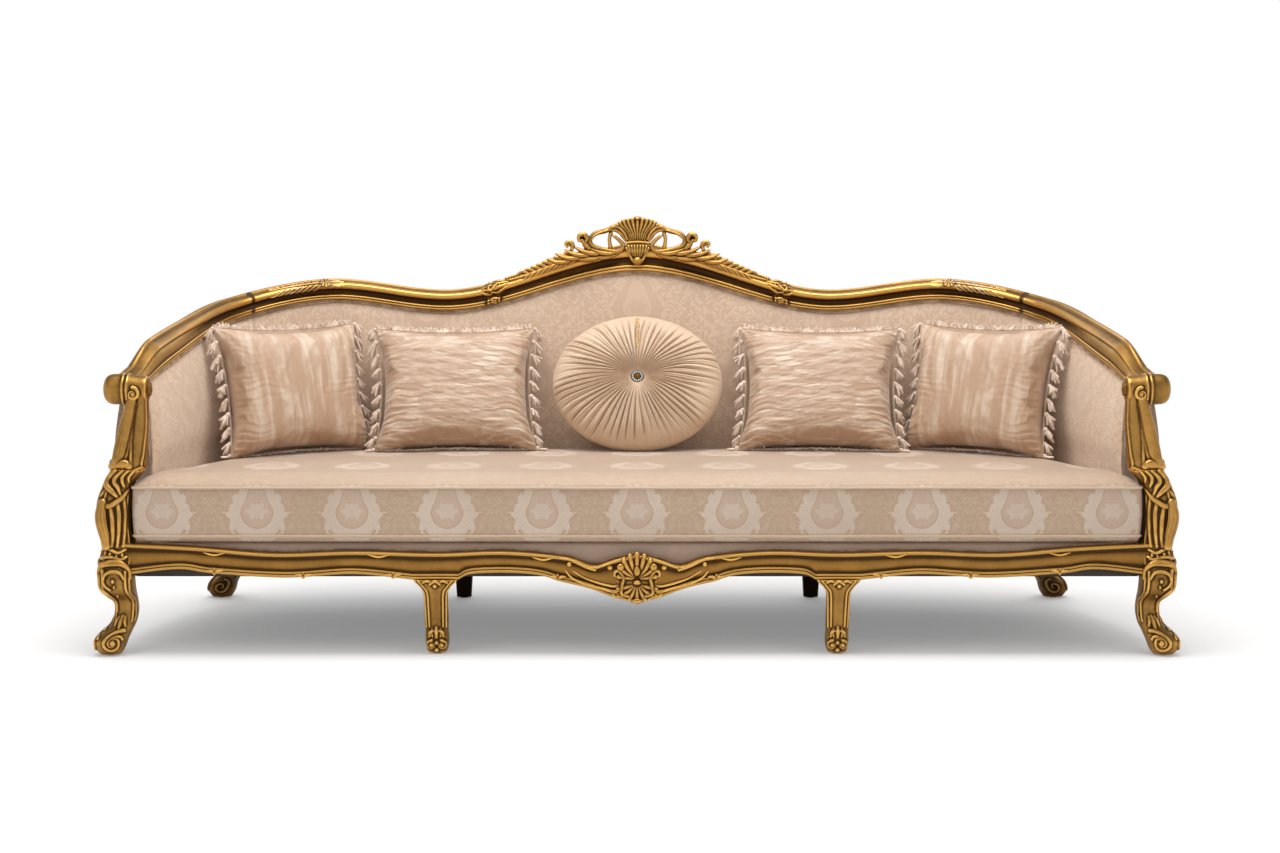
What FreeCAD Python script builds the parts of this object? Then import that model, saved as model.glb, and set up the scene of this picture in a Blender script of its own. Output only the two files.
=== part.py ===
import FreeCAD, Part
import math
import os

# A four-seat cabriole sofa in carved, gilded beech with damask upholstery.
# Millimetres. X runs along the sofa, Y points to its back, Z is up, and the floor is at Z = 0.
# The origin is on the floor, at the middle of the sofa's outer box.

Vector = FreeCAD.Vector

# Overall sizes
overall_width = 2700.0
overall_depth = 900.0
crest_height = 1095.0

# Clearances: seats inside the frame, and loose pieces beside each other
seat_gap = 0.4
frame_gap = 2.0
loose_gap = 1.5
joint_gap = 0.3

# Plan of the top rail's centre line: a rounded corner between a nearly straight back and splayed arms
rail_width = 64.0
corner_depth = 518.0
corner_exponent = 4.5
arm_side_inset = 92.0
arm_front_inset = 84.0
arm_splay = 0.162

# Height of the top rail, at distances measured along it from the middle of the back; the shoulder,
# the corner and the arm's middle keep their place from the sofa's side
crest_rise = 79.0
dip_distance = 550.0
dip_top = 886.0
shoulder_inset = 490.0
shoulder_top = 918.0
corner_inset = 160.0
corner_top = 868.0
arm_middle_outset = 70.0
arm_middle_top = 820.0
arm_end_top = 744.0
crest_rail_height = 76.0
back_rail_height = 58.0
arm_rail_height = 72.0

# Joints of the top rail, and the collar blocks in the two beside the crest
crest_joint_distance = 410.0
corner_joint_inset = 230.0
collar_length = 38.0
collar_thickness = 6.0
rail_dowel_diameter = 10.0
rail_dowel_length = 80.0

# Rolled handholds on the arm fronts
handhold_length = 108.0
handhold_radius = 38.0
handhold_axis_height = 662.0
handhold_axis_inset = 64.0
handhold_eye_radius = 17.0
handhold_eye_length = 7.0

# Front corner legs, arm posts and feet
glide_diameter = 24.0
glide_thickness = 3.0
arm_post_lift = 12.1
front_leg_width = 84.0
front_leg_inset = 60.0
arm_post_width = 88.0

# Middle front legs and the two kinds of rear leg
middle_leg_distance = 500.0
middle_leg_width = 60.0
rear_leg_width = 62.0
rear_foot_side_inset = 150.0
rear_foot_back_inset = 62.0
rear_leg_inset = 222.0
rear_middle_leg_width = 58.0

# Seat frame under the upholstery
seat_rail_bottom = 195.0
seat_rail_height = 40.0
seat_rail_thickness = 44.0
cross_rail_width = 40.0
cross_rail_height = 28.0
corner_block_leg = 90.0
corner_block_height = 26.0
block_screw_diameter = 5.0
block_screw_length = 44.0
block_screw_head = 9.0
back_frame_outset = 16.0
arm_frame_outset = -44.0

# Shaped aprons: gilded show wood round the seat
apron_face_inset = 20.0
apron_thickness = 26.0
apron_top = 262.0
apron_end_top = 282.0
apron_bottom = 203.0
apron_end_bottom = 212.0
apron_shell_dip_top = 227.0
apron_shell_top = 254.0
apron_drop_bottom = 134.0
apron_cusp_bottom = 188.0
apron_shell_half_width = 110.0
side_apron_top = 268.0

# Upholstery
webbing_thickness = 2.0
webbing_band = 52.0
webbing_pitch_long = 120.0
webbing_pitch_across = 150.0
dust_cover_thickness = 1.0
deck_top = 283.5
deck_lip_bottom = 214.0
deck_lip_thickness = 6.0
upright_thickness = 28.0
upright_width = 40.0
stuffing_rail_height = 36.0
pad_face_inset = 8.0
pad_front_gap = 1.0
inside_pad_bulge = 20.0
back_lean = 80.0
outside_back_lean = 44.0
arm_lean = -16.0
outside_back_thickness = 5.0
outside_arm_bulge = 22.0
gimp_width = 11.0
gimp_thickness = 3.0
gimp_lift = 0.6

# Loose seat cushion with piped edges
cushion_thickness = 166.0
cushion_crown = 10.0
cushion_front_inset = 26.0
cushion_edge_radius = 22.0
piping_diameter = 9.0

# Throw pillows
inner_pillow_width = 452.0
inner_pillow_height = 386.0
outer_pillow_width = 430.0
outer_pillow_height = 372.0
pillow_thickness = 140.0
pillow_pinch = 0.05
inner_pillow_x = 506.0
inner_pillow_y = 224.0
inner_pillow_turn = 5.0
outer_pillow_inset = 410.0
outer_pillow_y = 130.0
outer_pillow_turn = 36.0
pillow_lean = 27.0
outer_pillow_lean = 15.0
round_pillow_width = 470.0
round_pillow_height = 402.0
round_pillow_thickness = 150.0
round_pillow_y = 222.0
round_pillow_dimple = 26.0
button_diameter = 34.0
button_height = 12.0

# Carved ornaments
crest_half_width = 186.0
crest_thickness = 30.0
crest_shell_half_width = 66.0
crest_opening_width = 62.0
crest_opening_height = 24.0
crest_strut_width = 10.0
crest_lobe_drop = 64.0
spray_end_distance = 372.0
spray_height = 17.0
rosette_offset = 32.0
rosette_radius = 17.0
rosette_leaf_length = 92.0
apron_shell_thickness = 14.0
apron_shell_overlap = 6.0

# Worked out from the sizes above
half_width = overall_width / 2
half_depth = overall_depth / 2
arm_front_half_span = half_width - arm_side_inset
crest_rail_top = crest_height - crest_rise
shoulder_distance = half_width - shoulder_inset
corner_distance = half_width - corner_inset
arm_middle_distance = half_width + arm_middle_outset
corner_joint_distance = half_width - corner_joint_inset
collar_start = crest_joint_distance - collar_length / 2
collar_end = crest_joint_distance + collar_length / 2
rear_leg_distance = half_width - rear_leg_inset
rosette_distance = shoulder_distance + rosette_offset
outer_pillow_x = half_width - outer_pillow_inset
back_y = half_depth - rail_width / 2
corner_start_y = back_y - corner_depth
arm_front_y = -half_depth + arm_front_inset
handhold_axis_y = -half_depth + handhold_axis_inset
seat_rail_top = seat_rail_bottom + seat_rail_height
deck_bottom = seat_rail_top + webbing_thickness
cushion_bottom = deck_top + seat_gap
cushion_top = cushion_bottom + cushion_thickness
front_leg_height = cushion_top + arm_post_lift
apron_front_y = -half_depth + apron_face_inset
apron_back_y = apron_front_y + apron_thickness
inner_front_rail_y = apron_back_y + deck_lip_thickness
front_leg_x = half_width - front_leg_inset


def blend(start, end, share):
    return start + (end - start) * share


def ease(value, start, end):
    """0 before start, 1 after end, and a smooth rise between them."""
    share = min(1.0, max(0.0, (value - start) / (end - start)))
    return share * share * (3 - 2 * share)


def smooth_through(places, values, at):
    """A smooth curve through the values that never overshoots them."""
    at = min(max(at, places[0]), places[-1])
    slopes = []
    for k in range(len(places)):
        if k == 0 or k == len(places) - 1:
            slopes.append(0.0)
            continue
        before = (values[k] - values[k - 1]) / (places[k] - places[k - 1])
        after = (values[k + 1] - values[k]) / (places[k + 1] - places[k])
        if before * after <= 0:
            slopes.append(0.0)
        else:
            slopes.append(2 * before * after / (before + after))
    last = len(places) - 1
    slopes[last] = (values[last] - values[last - 1]) / (places[last] - places[last - 1])
    for k in range(last):
        if at <= places[k + 1]:
            break
    run = places[k + 1] - places[k]
    t = (at - places[k]) / run
    rise = (2 * t**3 - 3 * t**2 + 1) * values[k] + (3 * t**2 - 2 * t**3) * values[k + 1]
    turn = (t**3 - 2 * t**2 + t) * slopes[k] + (t**3 - t**2) * slopes[k + 1]
    return rise + turn * run


# The plan of the top rail

def arm_line(y):
    """How far the splayed arm line lies from the middle at y."""
    return arm_front_half_span - arm_splay * (y - arm_front_y)


def plan_points():
    """The right half of the centre line, from the middle of the back to the arm's front, closely spaced."""
    points = []
    corner_steps = 900
    for k in range(corner_steps + 1):
        angle = math.pi / 2 * k / corner_steps
        y = corner_start_y + corner_depth * math.cos(angle) ** (2 / corner_exponent)
        x = arm_line(y) * math.sin(angle) ** (2 / corner_exponent)
        points.append((x, y))
    arm_steps = 200
    for k in range(1, arm_steps + 1):
        y = blend(corner_start_y, arm_front_y - rail_width, k / arm_steps)
        points.append((arm_line(y), y))
    return points


plan = plan_points()
plan_lengths = [0.0]
for first, second in zip(plan, plan[1:]):
    plan_lengths.append(plan_lengths[-1] + math.dist(first, second))


def plan_at(distance):
    """The point and the direction of the centre line at a distance from the middle; left is negative."""
    along = min(abs(distance), plan_lengths[-1] - 1.0)
    low = 0
    high = len(plan_lengths) - 1
    while high - low > 1:
        middle = (low + high) // 2
        if plan_lengths[middle] <= along:
            low = middle
        else:
            high = middle
    share = (along - plan_lengths[low]) / (plan_lengths[high] - plan_lengths[low])
    x = blend(plan[low][0], plan[high][0], share)
    y = blend(plan[low][1], plan[high][1], share)
    behind = plan[max(low - 4, 0)]
    ahead = plan[min(high + 4, len(plan) - 1)]
    run = math.dist(behind, ahead)
    direction = ((ahead[0] - behind[0]) / run, (ahead[1] - behind[1]) / run)
    if along < 1.0:
        direction = (1.0, 0.0)
    if distance < 0:
        return (-x, y), (direction[0], -direction[1])
    return (x, y), direction


def distance_at_y(y):
    """The distance along the centre line at which the arm reaches y."""
    for point, length in zip(plan, plan_lengths):
        if point[1] <= y:
            return length
    return plan_lengths[-1]


arm_front_distance = distance_at_y(arm_front_y)
corner_start_distance = distance_at_y(corner_start_y)


def station_point(distance, inward, height):
    """A point beside the centre line: inward is towards the seat."""
    point, direction = plan_at(distance)
    normal = (direction[1], -direction[0])
    return Vector(point[0] + normal[0] * inward, point[1] + normal[1] * inward, height)


def rail_top_at(distance):
    places = [0.0, dip_distance, shoulder_distance, corner_distance, arm_middle_distance, arm_front_distance]
    heights = [crest_rail_top, dip_top, shoulder_top, corner_top, arm_middle_top, arm_end_top]
    return smooth_through(places, heights, abs(distance))


def rail_height_at(distance):
    places = [0.0, dip_distance, corner_distance, arm_front_distance]
    heights = [crest_rail_height, back_rail_height, back_rail_height, arm_rail_height]
    return smooth_through(places, heights, abs(distance))


def rail_bottom_at(distance):
    return rail_top_at(distance) - rail_height_at(distance)


def arm_share(distance):
    """0 along the back, 1 along the arms, smooth round the corner."""
    return ease(abs(distance), shoulder_distance, corner_start_distance)


def frame_outset_at(distance):
    return blend(back_frame_outset, arm_frame_outset, arm_share(distance))


def lean_at(distance, height, full_lean):
    """How far inward the leaning back has come at a height; the arms lean a little outward."""
    top = rail_bottom_at(distance)
    drop = (top - height) / (top - deck_top)
    return blend(full_lean, arm_lean, arm_share(distance)) * drop


def upright_outer_at(distance, height):
    """The outer side of the uprights at a height, just inside the outside panels."""
    outer = -rail_width / 2 + outside_back_thickness + frame_gap
    return outer + lean_at(distance, height, outside_back_lean)


# Lofts along the plan

def wire_at(distance, runs):
    """A closed section across the centre line; two points make a line and more make a smooth curve."""
    edges = []
    for run in runs:
        points = [station_point(distance, inward, height) for inward, height in run]
        if len(points) == 2:
            edges.append(Part.LineSegment(points[0], points[1]).toShape())
        else:
            curve = Part.BSplineCurve()
            curve.interpolate(points)
            edges.append(curve.toShape())
    return Part.Wire(edges)


def sweep(start, end, section, spacing=75.0):
    """A solid through sections along the centre line, from start to end."""
    count = max(3, round((end - start) / spacing) + 1)
    wires = []
    for k in range(count):
        distance = blend(start, end, k / (count - 1))
        wires.append(wire_at(distance, section(distance)))
    return Part.makeLoft(wires, True, False)


def mirrored(shape):
    return shape.mirror(Vector(0, 0, 0), Vector(1, 0, 0))


def rounded_section(centre, half_x, half_y, turn, exponent):
    """A closed smooth outline at a height: from an ellipse at exponent 2 to a rounded square above it."""
    points = []
    count = 12
    for k in range(count):
        angle = 2 * math.pi * (k + 0.5) / count
        reach_x = math.copysign(abs(math.cos(angle)) ** (2 / exponent), math.cos(angle))
        reach_y = math.copysign(abs(math.sin(angle)) ** (2 / exponent), math.sin(angle))
        x = half_x * reach_x
        y = half_y * reach_y
        side = x * math.cos(turn) - y * math.sin(turn)
        front = x * math.sin(turn) + y * math.cos(turn)
        points.append(Vector(centre[0] + side, centre[1] + front, centre[2]))
    curve = Part.BSplineCurve()
    curve.interpolate(points, PeriodicFlag=True)
    return Part.Wire([curve.toShape()])


def post(sections):
    """A turned or carved post through (centre, half x, half y, turn, exponent) sections."""
    wires = [rounded_section(*section) for section in sections]
    return Part.makeLoft(wires, True, False)


def lowest_point(shape):
    points, triangles = shape.tessellate(0.2)
    return min(point.z for point in points)


def seated_on(shape, height):
    """The shape moved up or down until it rests just above a height."""
    return shape.translated(Vector(0, 0, height + seat_gap - lowest_point(shape)))


# The moulded top rail

def rail_section(distance, grow=0.0):
    """The rail's moulding: a top bead, a large roll, a cove and a lower fillet; the back is flat."""
    top = rail_top_at(distance) + grow
    height = rail_height_at(distance) + grow
    half = rail_width / 2 + grow
    back = rail_width / 2
    fillet = rail_width * 0.08
    bottom = top - height
    moulding = [
        (half - fillet, bottom + 0.16 * height),
        (half - 2 * fillet, bottom + 0.30 * height),
        (half - fillet / 2, bottom + 0.50 * height),
        (half - fillet / 2, bottom + 0.72 * height),
        (half - 3 * fillet, bottom + 0.93 * height),
        (0.0, top),
        (-back + 2 * fillet, bottom + 0.92 * height),
        (-back, bottom + 0.66 * height),
    ]
    return [
        [(half - fillet, bottom), (half - fillet, bottom + 0.16 * height)],
        moulding,
        [(-back, bottom + 0.66 * height), (-back, bottom)],
        [(-back, bottom), (half - fillet, bottom)],
    ]


def rail_dowels(distance):
    """Two dowels across a joint of the top rail."""
    point, direction = plan_at(distance)
    along = Vector(direction[0], direction[1], 0)
    middle = rail_bottom_at(distance) + rail_height_at(distance) * 0.45
    dowels = []
    for inward in (-rail_width / 5, rail_width / 8):
        centre = station_point(distance, inward, middle)
        start = centre - along * (rail_dowel_length / 2)
        dowels.append(Part.makeCylinder(rail_dowel_diameter / 2, rail_dowel_length, start, along))
    return dowels


def collar():
    """The carved block between the crest rail and a back rail, a little larger than they are."""
    return sweep(collar_start, collar_end, lambda distance: rail_section(distance, collar_thickness))


def largest_solid(shape):
    return max(shape.Solids, key=lambda solid: solid.Volume)


# Front legs, posts and handholds

# Carved leg: share of its height, then the offset of its centre outward and forward,
# and its half width and half depth, as shares of the leg's width
front_leg_shape = [
    (0.000, 0.27, 0.26, 0.30, 0.28),
    (0.030, 0.28, 0.28, 0.42, 0.40),
    (0.075, 0.25, 0.26, 0.48, 0.46),
    (0.120, 0.08, 0.16, 0.41, 0.42),
    (0.165, -0.08, 0.02, 0.35, 0.38),
    (0.230, -0.16, -0.04, 0.33, 0.36),
    (0.290, -0.14, 0.02, 0.34, 0.38),
    (0.345, -0.02, 0.22, 0.46, 0.46),
    (0.400, 0.02, 0.30, 0.50, 0.48),
    (0.480, 0.02, 0.28, 0.49, 0.46),
    (0.600, 0.03, 0.18, 0.43, 0.42),
    (0.720, 0.08, 0.18, 0.43, 0.42),
    (0.840, 0.06, 0.16, 0.43, 0.42),
    (0.920, -0.05, 0.10, 0.41, 0.41),
    (1.000, -0.34, 0.06, 0.50, 0.42),
]

# Arm post: share of the height from the leg's top to the handhold's axis, the offset of its centre
# towards the seat, and its half width and half depth, as shares of the post's width
arm_post_shape = [
    (0.00, 0.00, 0.48, 0.40),
    (0.10, 0.02, 0.50, 0.42),
    (0.22, 0.08, 0.46, 0.38),
    (0.40, 0.14, 0.41, 0.35),
    (0.60, 0.20, 0.37, 0.33),
    (0.80, 0.26, 0.32, 0.31),
    (1.00, 0.33, 0.25, 0.28),
]


def front_leg_y():
    """The leg's centre line, such that its knee reaches the front of the sofa's outer box."""
    knee_reach = max(row[2] + row[4] for row in front_leg_shape) * front_leg_width
    return -half_depth + knee_reach


def front_leg():
    """A cabriole leg on the right corner, from its glide to the collar under the arm post."""
    sections = []
    for share, outward, forward, side, front in front_leg_shape:
        height = blend(glide_thickness, front_leg_height, share)
        x = front_leg_x + outward * front_leg_width
        y = front_leg_y() - forward * front_leg_width
        centre = (x, y, height)
        sections.append((centre, side * front_leg_width, front * front_leg_width, 0.0, 2.6))
    return post(sections)


def arm_post():
    """The scrolled post between the front leg and the handhold."""
    foot_offset = front_leg_shape[-1][1] * front_leg_width
    x_bottom = front_leg_x + foot_offset
    y = front_leg_y() - front_leg_shape[-1][2] * front_leg_width
    sections = []
    for share, inward, side, front in arm_post_shape:
        height = blend(front_leg_height, handhold_axis_height, share)
        centre = (x_bottom - inward * arm_post_width, y, height)
        sections.append((centre, side * arm_post_width, front * arm_post_width, 0.0, 2.6))
    return post(sections)


def handhold():
    """The roll that ends the arm, with its axis across the arm and a domed outer end."""
    inner_x = half_width - 2 * front_leg_inset - 22.0
    start = Vector(inner_x, handhold_axis_y, handhold_axis_height)
    across = Vector(1, 0, 0)
    roll = Part.makeCylinder(handhold_radius, handhold_length, start, across)
    edges = [edge for edge in roll.Edges if abs(edge.CenterOfMass.x - inner_x - handhold_length) < 0.1]
    roll = roll.makeFillet(handhold_radius * 0.45, edges)
    return roll, start


def handhold_eye(start):
    """The small carved eye on the roll's inner end."""
    across = Vector(-1, 0, 0)
    disc = Part.makeCylinder(handhold_eye_radius, handhold_eye_length * 0.5, start, across)
    boss_start = start + across * (handhold_eye_length * 0.5)
    boss = Part.makeCone(handhold_eye_radius * 0.7, handhold_eye_radius * 0.35,
                         handhold_eye_length * 0.5, boss_start, across)
    return disc.fuse(boss).removeSplitter()


# Middle and rear legs

# Straight-faced middle leg: share of its height, half width and half depth as shares of its width,
# and how far its centre lies back from the apron's middle
middle_leg_shape = [
    (0.00, 0.38, 0.34, 0.55),
    (0.08, 0.47, 0.46, 0.55),
    (0.20, 0.49, 0.48, 0.52),
    (0.30, 0.47, 0.40, 0.42),
    (0.42, 0.49, 0.36, 0.34),
    (0.78, 0.49, 0.38, 0.10),
    (0.90, 0.60, 0.40, 0.02),
    (1.00, 0.94, 0.42, 0.00),
]

# Splayed rear leg: share of its height, half width and half depth as shares of its width, and its
# share of the foot's splay
rear_leg_shape = [
    (0.00, 0.44, 0.40, 1.00),
    (0.10, 0.62, 0.58, 1.00),
    (0.24, 0.62, 0.58, 0.92),
    (0.42, 0.46, 0.44, 0.62),
    (0.60, 0.44, 0.44, 0.42),
    (0.78, 0.56, 0.54, 0.30),
    (1.00, 0.58, 0.56, 0.12),
]

# Plain rear middle leg: share of its height and half width as a share of its width
rear_middle_leg_shape = [
    (0.00, 0.36),
    (0.30, 0.42),
    (0.70, 0.50),
    (1.00, 0.52),
]


def middle_leg():
    sections = []
    apron_middle_y = (apron_front_y + apron_back_y) / 2
    for share, side, front, back in middle_leg_shape:
        height = blend(glide_thickness, apron_middle_leg_bottom(), share)
        centre = (middle_leg_distance, apron_middle_y + back * middle_leg_width, height)
        sections.append((centre, side * middle_leg_width, front * middle_leg_width, 0.0, 3.2))
    return post(sections)


def rear_leg_place(share):
    """The rear leg's centre at a share of the foot's splay, outward from the frame's rear corner."""
    corner = station_point(rear_leg_distance, frame_outset_at(rear_leg_distance) + seat_rail_thickness / 2, 0)
    foot_x = half_width - rear_foot_side_inset
    foot_y = half_depth - rear_foot_back_inset
    return blend(corner.x, foot_x, share), blend(corner.y, foot_y, share)


def rear_leg():
    sections = []
    for share, side, front, splay in rear_leg_shape:
        height = blend(glide_thickness, seat_rail_bottom, share)
        x, y = rear_leg_place(splay)
        sections.append(((x, y, height), side * rear_leg_width, front * rear_leg_width, 0.0, 3.0))
    return post(sections)


def rear_middle_leg_y():
    return back_y - back_frame_outset - seat_rail_thickness / 2


def rear_middle_leg():
    sections = []
    for share, side in rear_middle_leg_shape:
        height = blend(glide_thickness, seat_rail_bottom, share)
        half = side * rear_middle_leg_width
        centre = (middle_leg_distance, rear_middle_leg_y(), height)
        sections.append((centre, half, half * 0.75, 0.0, 5.0))
    return post(sections)


def foot_glides():
    """A glide nailed under each of the eight feet."""
    front_foot_x = front_leg_x + front_leg_shape[0][1] * front_leg_width
    front_foot_y = front_leg_y() - front_leg_shape[0][2] * front_leg_width
    apron_middle_y = (apron_front_y + apron_back_y) / 2
    middle_foot_y = apron_middle_y + middle_leg_shape[0][3] * middle_leg_width
    rear_x, rear_y = rear_leg_place(rear_leg_shape[0][3])
    places = [
        (front_foot_x, front_foot_y),
        (middle_leg_distance, middle_foot_y),
        (rear_x, rear_y),
        (middle_leg_distance, rear_middle_leg_y()),
    ]
    glides = []
    for x, y in places:
        for side in (-1, 1):
            foot = Vector(side * x, y, 0)
            glides.append(Part.makeCylinder(glide_diameter / 2, glide_thickness, foot))
    return glides


# Aprons

def apron_middle_leg_bottom():
    return apron_cusp_bottom + 4.0


def apron_edges():
    """The right half of the front apron's upper and lower edges, from the middle to the leg."""
    end_x = front_leg_x
    shell = apron_shell_half_width
    leg = middle_leg_distance
    flare = middle_leg_width * 0.94
    upper = [
        (0.0, apron_shell_top),
        (shell * 0.55, blend(apron_shell_dip_top, apron_shell_top, 0.45)),
        (shell, apron_shell_dip_top),
        (shell * 1.6, blend(apron_shell_dip_top, apron_top, 0.6)),
        (shell * 3.0, apron_top),
        (leg, apron_top - 5.0),
        (leg * 1.4, apron_top),
        (leg * 1.8, apron_top - 5.0),
        (blend(leg, end_x, 0.75), blend(apron_top, apron_end_top, 0.5)),
        (end_x, apron_end_top),
    ]
    lower_shell = [
        (0.0, apron_drop_bottom),
        (shell * 0.5, apron_drop_bottom + 13.0),
        (shell * 1.1, blend(apron_drop_bottom, apron_cusp_bottom, 0.68)),
        (shell * 1.75, apron_cusp_bottom),
    ]
    lower_inner = [
        (shell * 1.75, apron_cusp_bottom),
        (shell * 2.2, apron_bottom),
        (shell * 2.9, apron_bottom + 6.0),
        (leg - flare * 1.6, apron_bottom + 3.0),
        (leg - flare, apron_middle_leg_bottom()),
    ]
    lower_leg = [
        (leg - flare, apron_middle_leg_bottom()),
        (leg + flare, apron_middle_leg_bottom()),
    ]
    lower_outer = [
        (leg + flare, apron_middle_leg_bottom()),
        (leg + flare * 3.6, apron_bottom + 3.0),
        (leg * 1.74, apron_bottom - 6.0),
        (leg * 2.1, blend(apron_bottom, apron_end_bottom, 0.5)),
        (leg * 2.28, apron_end_bottom + 6.0),
        (end_x, apron_bottom - 2.0),
    ]
    return upper, [lower_shell, lower_inner, lower_leg, lower_outer]


def apron_curve(points, side):
    corners = [Vector(side * x, apron_front_y, height) for x, height in points]
    if len(corners) == 2:
        return Part.LineSegment(corners[0], corners[1]).toShape()
    curve = Part.BSplineCurve()
    curve.interpolate(corners)
    return curve.toShape()


def front_apron():
    """The shaped front rail: one board with a wavy upper edge and a drop below the shell."""
    upper, lower = apron_edges()
    edges = []
    for side in (-1, 1):
        edges.append(apron_curve(upper, side))
        for points in lower:
            edges.append(apron_curve(points, side))
        top_end = Vector(side * upper[-1][0], apron_front_y, upper[-1][1])
        bottom_end = Vector(side * lower[-1][-1][0], apron_front_y, lower[-1][-1][1])
        edges.append(Part.LineSegment(top_end, bottom_end).toShape())
    wire = Part.Wire(Part.__sortEdges__(edges))
    return Part.Face(wire).extrude(Vector(0, apron_thickness, 0))


def side_apron_section(distance):
    inner = frame_outset_at(distance) - 2 * joint_gap
    outer = inner - apron_thickness
    bead = apron_thickness * 0.2
    return [
        [(inner, apron_bottom), (inner, side_apron_top)],
        [(inner, side_apron_top), (outer + bead, side_apron_top)],
        [
            (outer + bead, side_apron_top),
            (outer, side_apron_top - 2 * bead),
            (outer + bead, blend(apron_bottom, side_apron_top, 0.4)),
            (outer, apron_bottom + bead),
            (outer + bead, apron_bottom),
        ],
        [(outer + bead, apron_bottom), (inner, apron_bottom)],
    ]


def apron_shell():
    """The scalloped shell on the apron's middle, on the board's flat face."""
    flutes = 9
    reach_up = apron_shell_top + apron_shell_overlap - apron_drop_bottom
    radius = reach_up * 0.62
    hub = Vector(0, apron_front_y, apron_drop_bottom + reach_up * 0.32)
    points = []
    for k in range(flutes + 1):
        angle = math.radians(blend(-18.0, 198.0, k / flutes))
        points.append(hub + Vector(math.cos(angle), 0, math.sin(angle)) * radius)
    edges = []
    for first, second in zip(points, points[1:]):
        middle = (first + second) * 0.5
        outward = middle - hub
        outward.normalize()
        crown = middle + outward * (first.distanceToPoint(second) * 0.32)
        edges.append(Part.Arc(first, crown, second).toShape())
    base = hub + Vector(0, 0, -reach_up * 0.30)
    curve_down = Part.Arc(points[-1], hub + Vector(-radius * 0.55, 0, -reach_up * 0.2), base)
    curve_up = Part.Arc(base, hub + Vector(radius * 0.55, 0, -reach_up * 0.2), points[0])
    edges.append(curve_down.toShape())
    edges.append(curve_up.toShape())
    face = Part.Face(Part.Wire(edges))
    return face.extrude(Vector(0, -apron_shell_thickness, 0))


# Inner seat frame

def frame_rail_section(distance):
    outer = frame_outset_at(distance)
    inner = outer + seat_rail_thickness
    return [
        [(outer, seat_rail_bottom), (inner, seat_rail_bottom)],
        [(inner, seat_rail_bottom), (inner, seat_rail_top)],
        [(inner, seat_rail_top), (outer, seat_rail_top)],
        [(outer, seat_rail_top), (outer, seat_rail_bottom)],
    ]


def inner_front_rail():
    length = 2 * (front_leg_x - front_leg_width / 2)
    corner = Vector(-length / 2, inner_front_rail_y, seat_rail_bottom)
    return Part.makeBox(length, seat_rail_thickness, seat_rail_height, corner)


def rear_rail_front_y():
    return back_y - back_frame_outset - seat_rail_thickness


def cross_rails():
    """Rails from front to back: one in the middle and one at each middle leg."""
    rails = []
    start_y = inner_front_rail_y + seat_rail_thickness
    length = rear_rail_front_y() - start_y - 2 * joint_gap
    for x in (-middle_leg_distance, 0.0, middle_leg_distance):
        rail_drop = rear_rail_drop(abs(x) + cross_rail_width / 2)
        corner = Vector(x - cross_rail_width / 2, start_y + joint_gap, seat_rail_bottom)
        rails.append(Part.makeBox(cross_rail_width, length - rail_drop, cross_rail_height, corner))
    return rails


def rear_rail_drop(x):
    """How far the curved rear rail has come forward at x."""
    for point in plan:
        if point[0] >= x:
            return back_y - point[1]
    return 0.0


def block_place(side):
    """The front corner between the front rail and a side rail, at the side rail's inner face."""
    y = inner_front_rail_y + seat_rail_thickness + joint_gap
    corner = station_point(distance_at_y(y), arm_frame_outset + seat_rail_thickness + 2 * joint_gap, 0)
    return side * (corner.x - arm_splay * (y - corner.y)), y


def corner_block(side):
    """A triangular block glued and screwed into a front corner of the seat frame."""
    x, y = block_place(side)
    points = [
        Vector(x, y, seat_rail_bottom),
        Vector(x - side * corner_block_leg, y, seat_rail_bottom),
        Vector(x - side * arm_splay * corner_block_leg, y + corner_block_leg, seat_rail_bottom),
        Vector(x, y, seat_rail_bottom),
    ]
    face = Part.Face(Part.makePolygon(points))
    return face.extrude(Vector(0, 0, corner_block_height))


def block_screws(side):
    """Two screws through a corner block, into the front rail and the side rail."""
    x, y = block_place(side)
    low = seat_rail_bottom + corner_block_height * 0.27
    high = seat_rail_bottom + corner_block_height * 0.73
    seat = corner_block_leg * 0.42
    depth = corner_block_leg - seat - block_screw_head
    front_start = Vector(x - side * seat, y + depth, low)
    side_start = Vector(x - side * (arm_splay * seat + depth), y + seat, high)
    screws = []
    for start, along in ((front_start, Vector(0, -1, 0)), (side_start, Vector(side, 0, 0))):
        shank = Part.makeCylinder(block_screw_diameter / 2, block_screw_length, start, along)
        head = Part.makeCone(block_screw_head / 2, block_screw_diameter / 2, block_screw_diameter / 2,
                             start, along)
        screws.append(shank.fuse(head).removeSplitter())
    return screws


# Deck, webbing and dust cover

def plan_face(inward_at, height, front_y, end_y):
    """A flat face inside the seat frame, at a named distance inside the centre line."""
    end_distance = distance_at_y(end_y)
    count = 19
    points = []
    for k in range(-count, count + 1):
        distance = end_distance * k / count
        points.append(station_point(distance, inward_at(distance), height))
    curve = Part.BSplineCurve()
    curve.interpolate(points)
    left = Vector(points[0].x, front_y, height)
    right = Vector(points[-1].x, front_y, height)
    edges = [
        curve.toShape(),
        Part.LineSegment(points[-1], right).toShape(),
        Part.LineSegment(right, left).toShape(),
        Part.LineSegment(left, points[0]).toShape(),
    ]
    return Part.Face(Part.Wire(edges))


def upright_inner_at(distance):
    """The inner side of the uprights at seat level: the deck and the pads start just inside it."""
    outer = max(upright_outer_at(distance, seat_rail_top), upright_outer_at(distance, deck_top))
    return outer + upright_thickness + frame_gap / 2


def deck_edge_at(distance):
    return upright_inner_at(distance) + seat_gap


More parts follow.
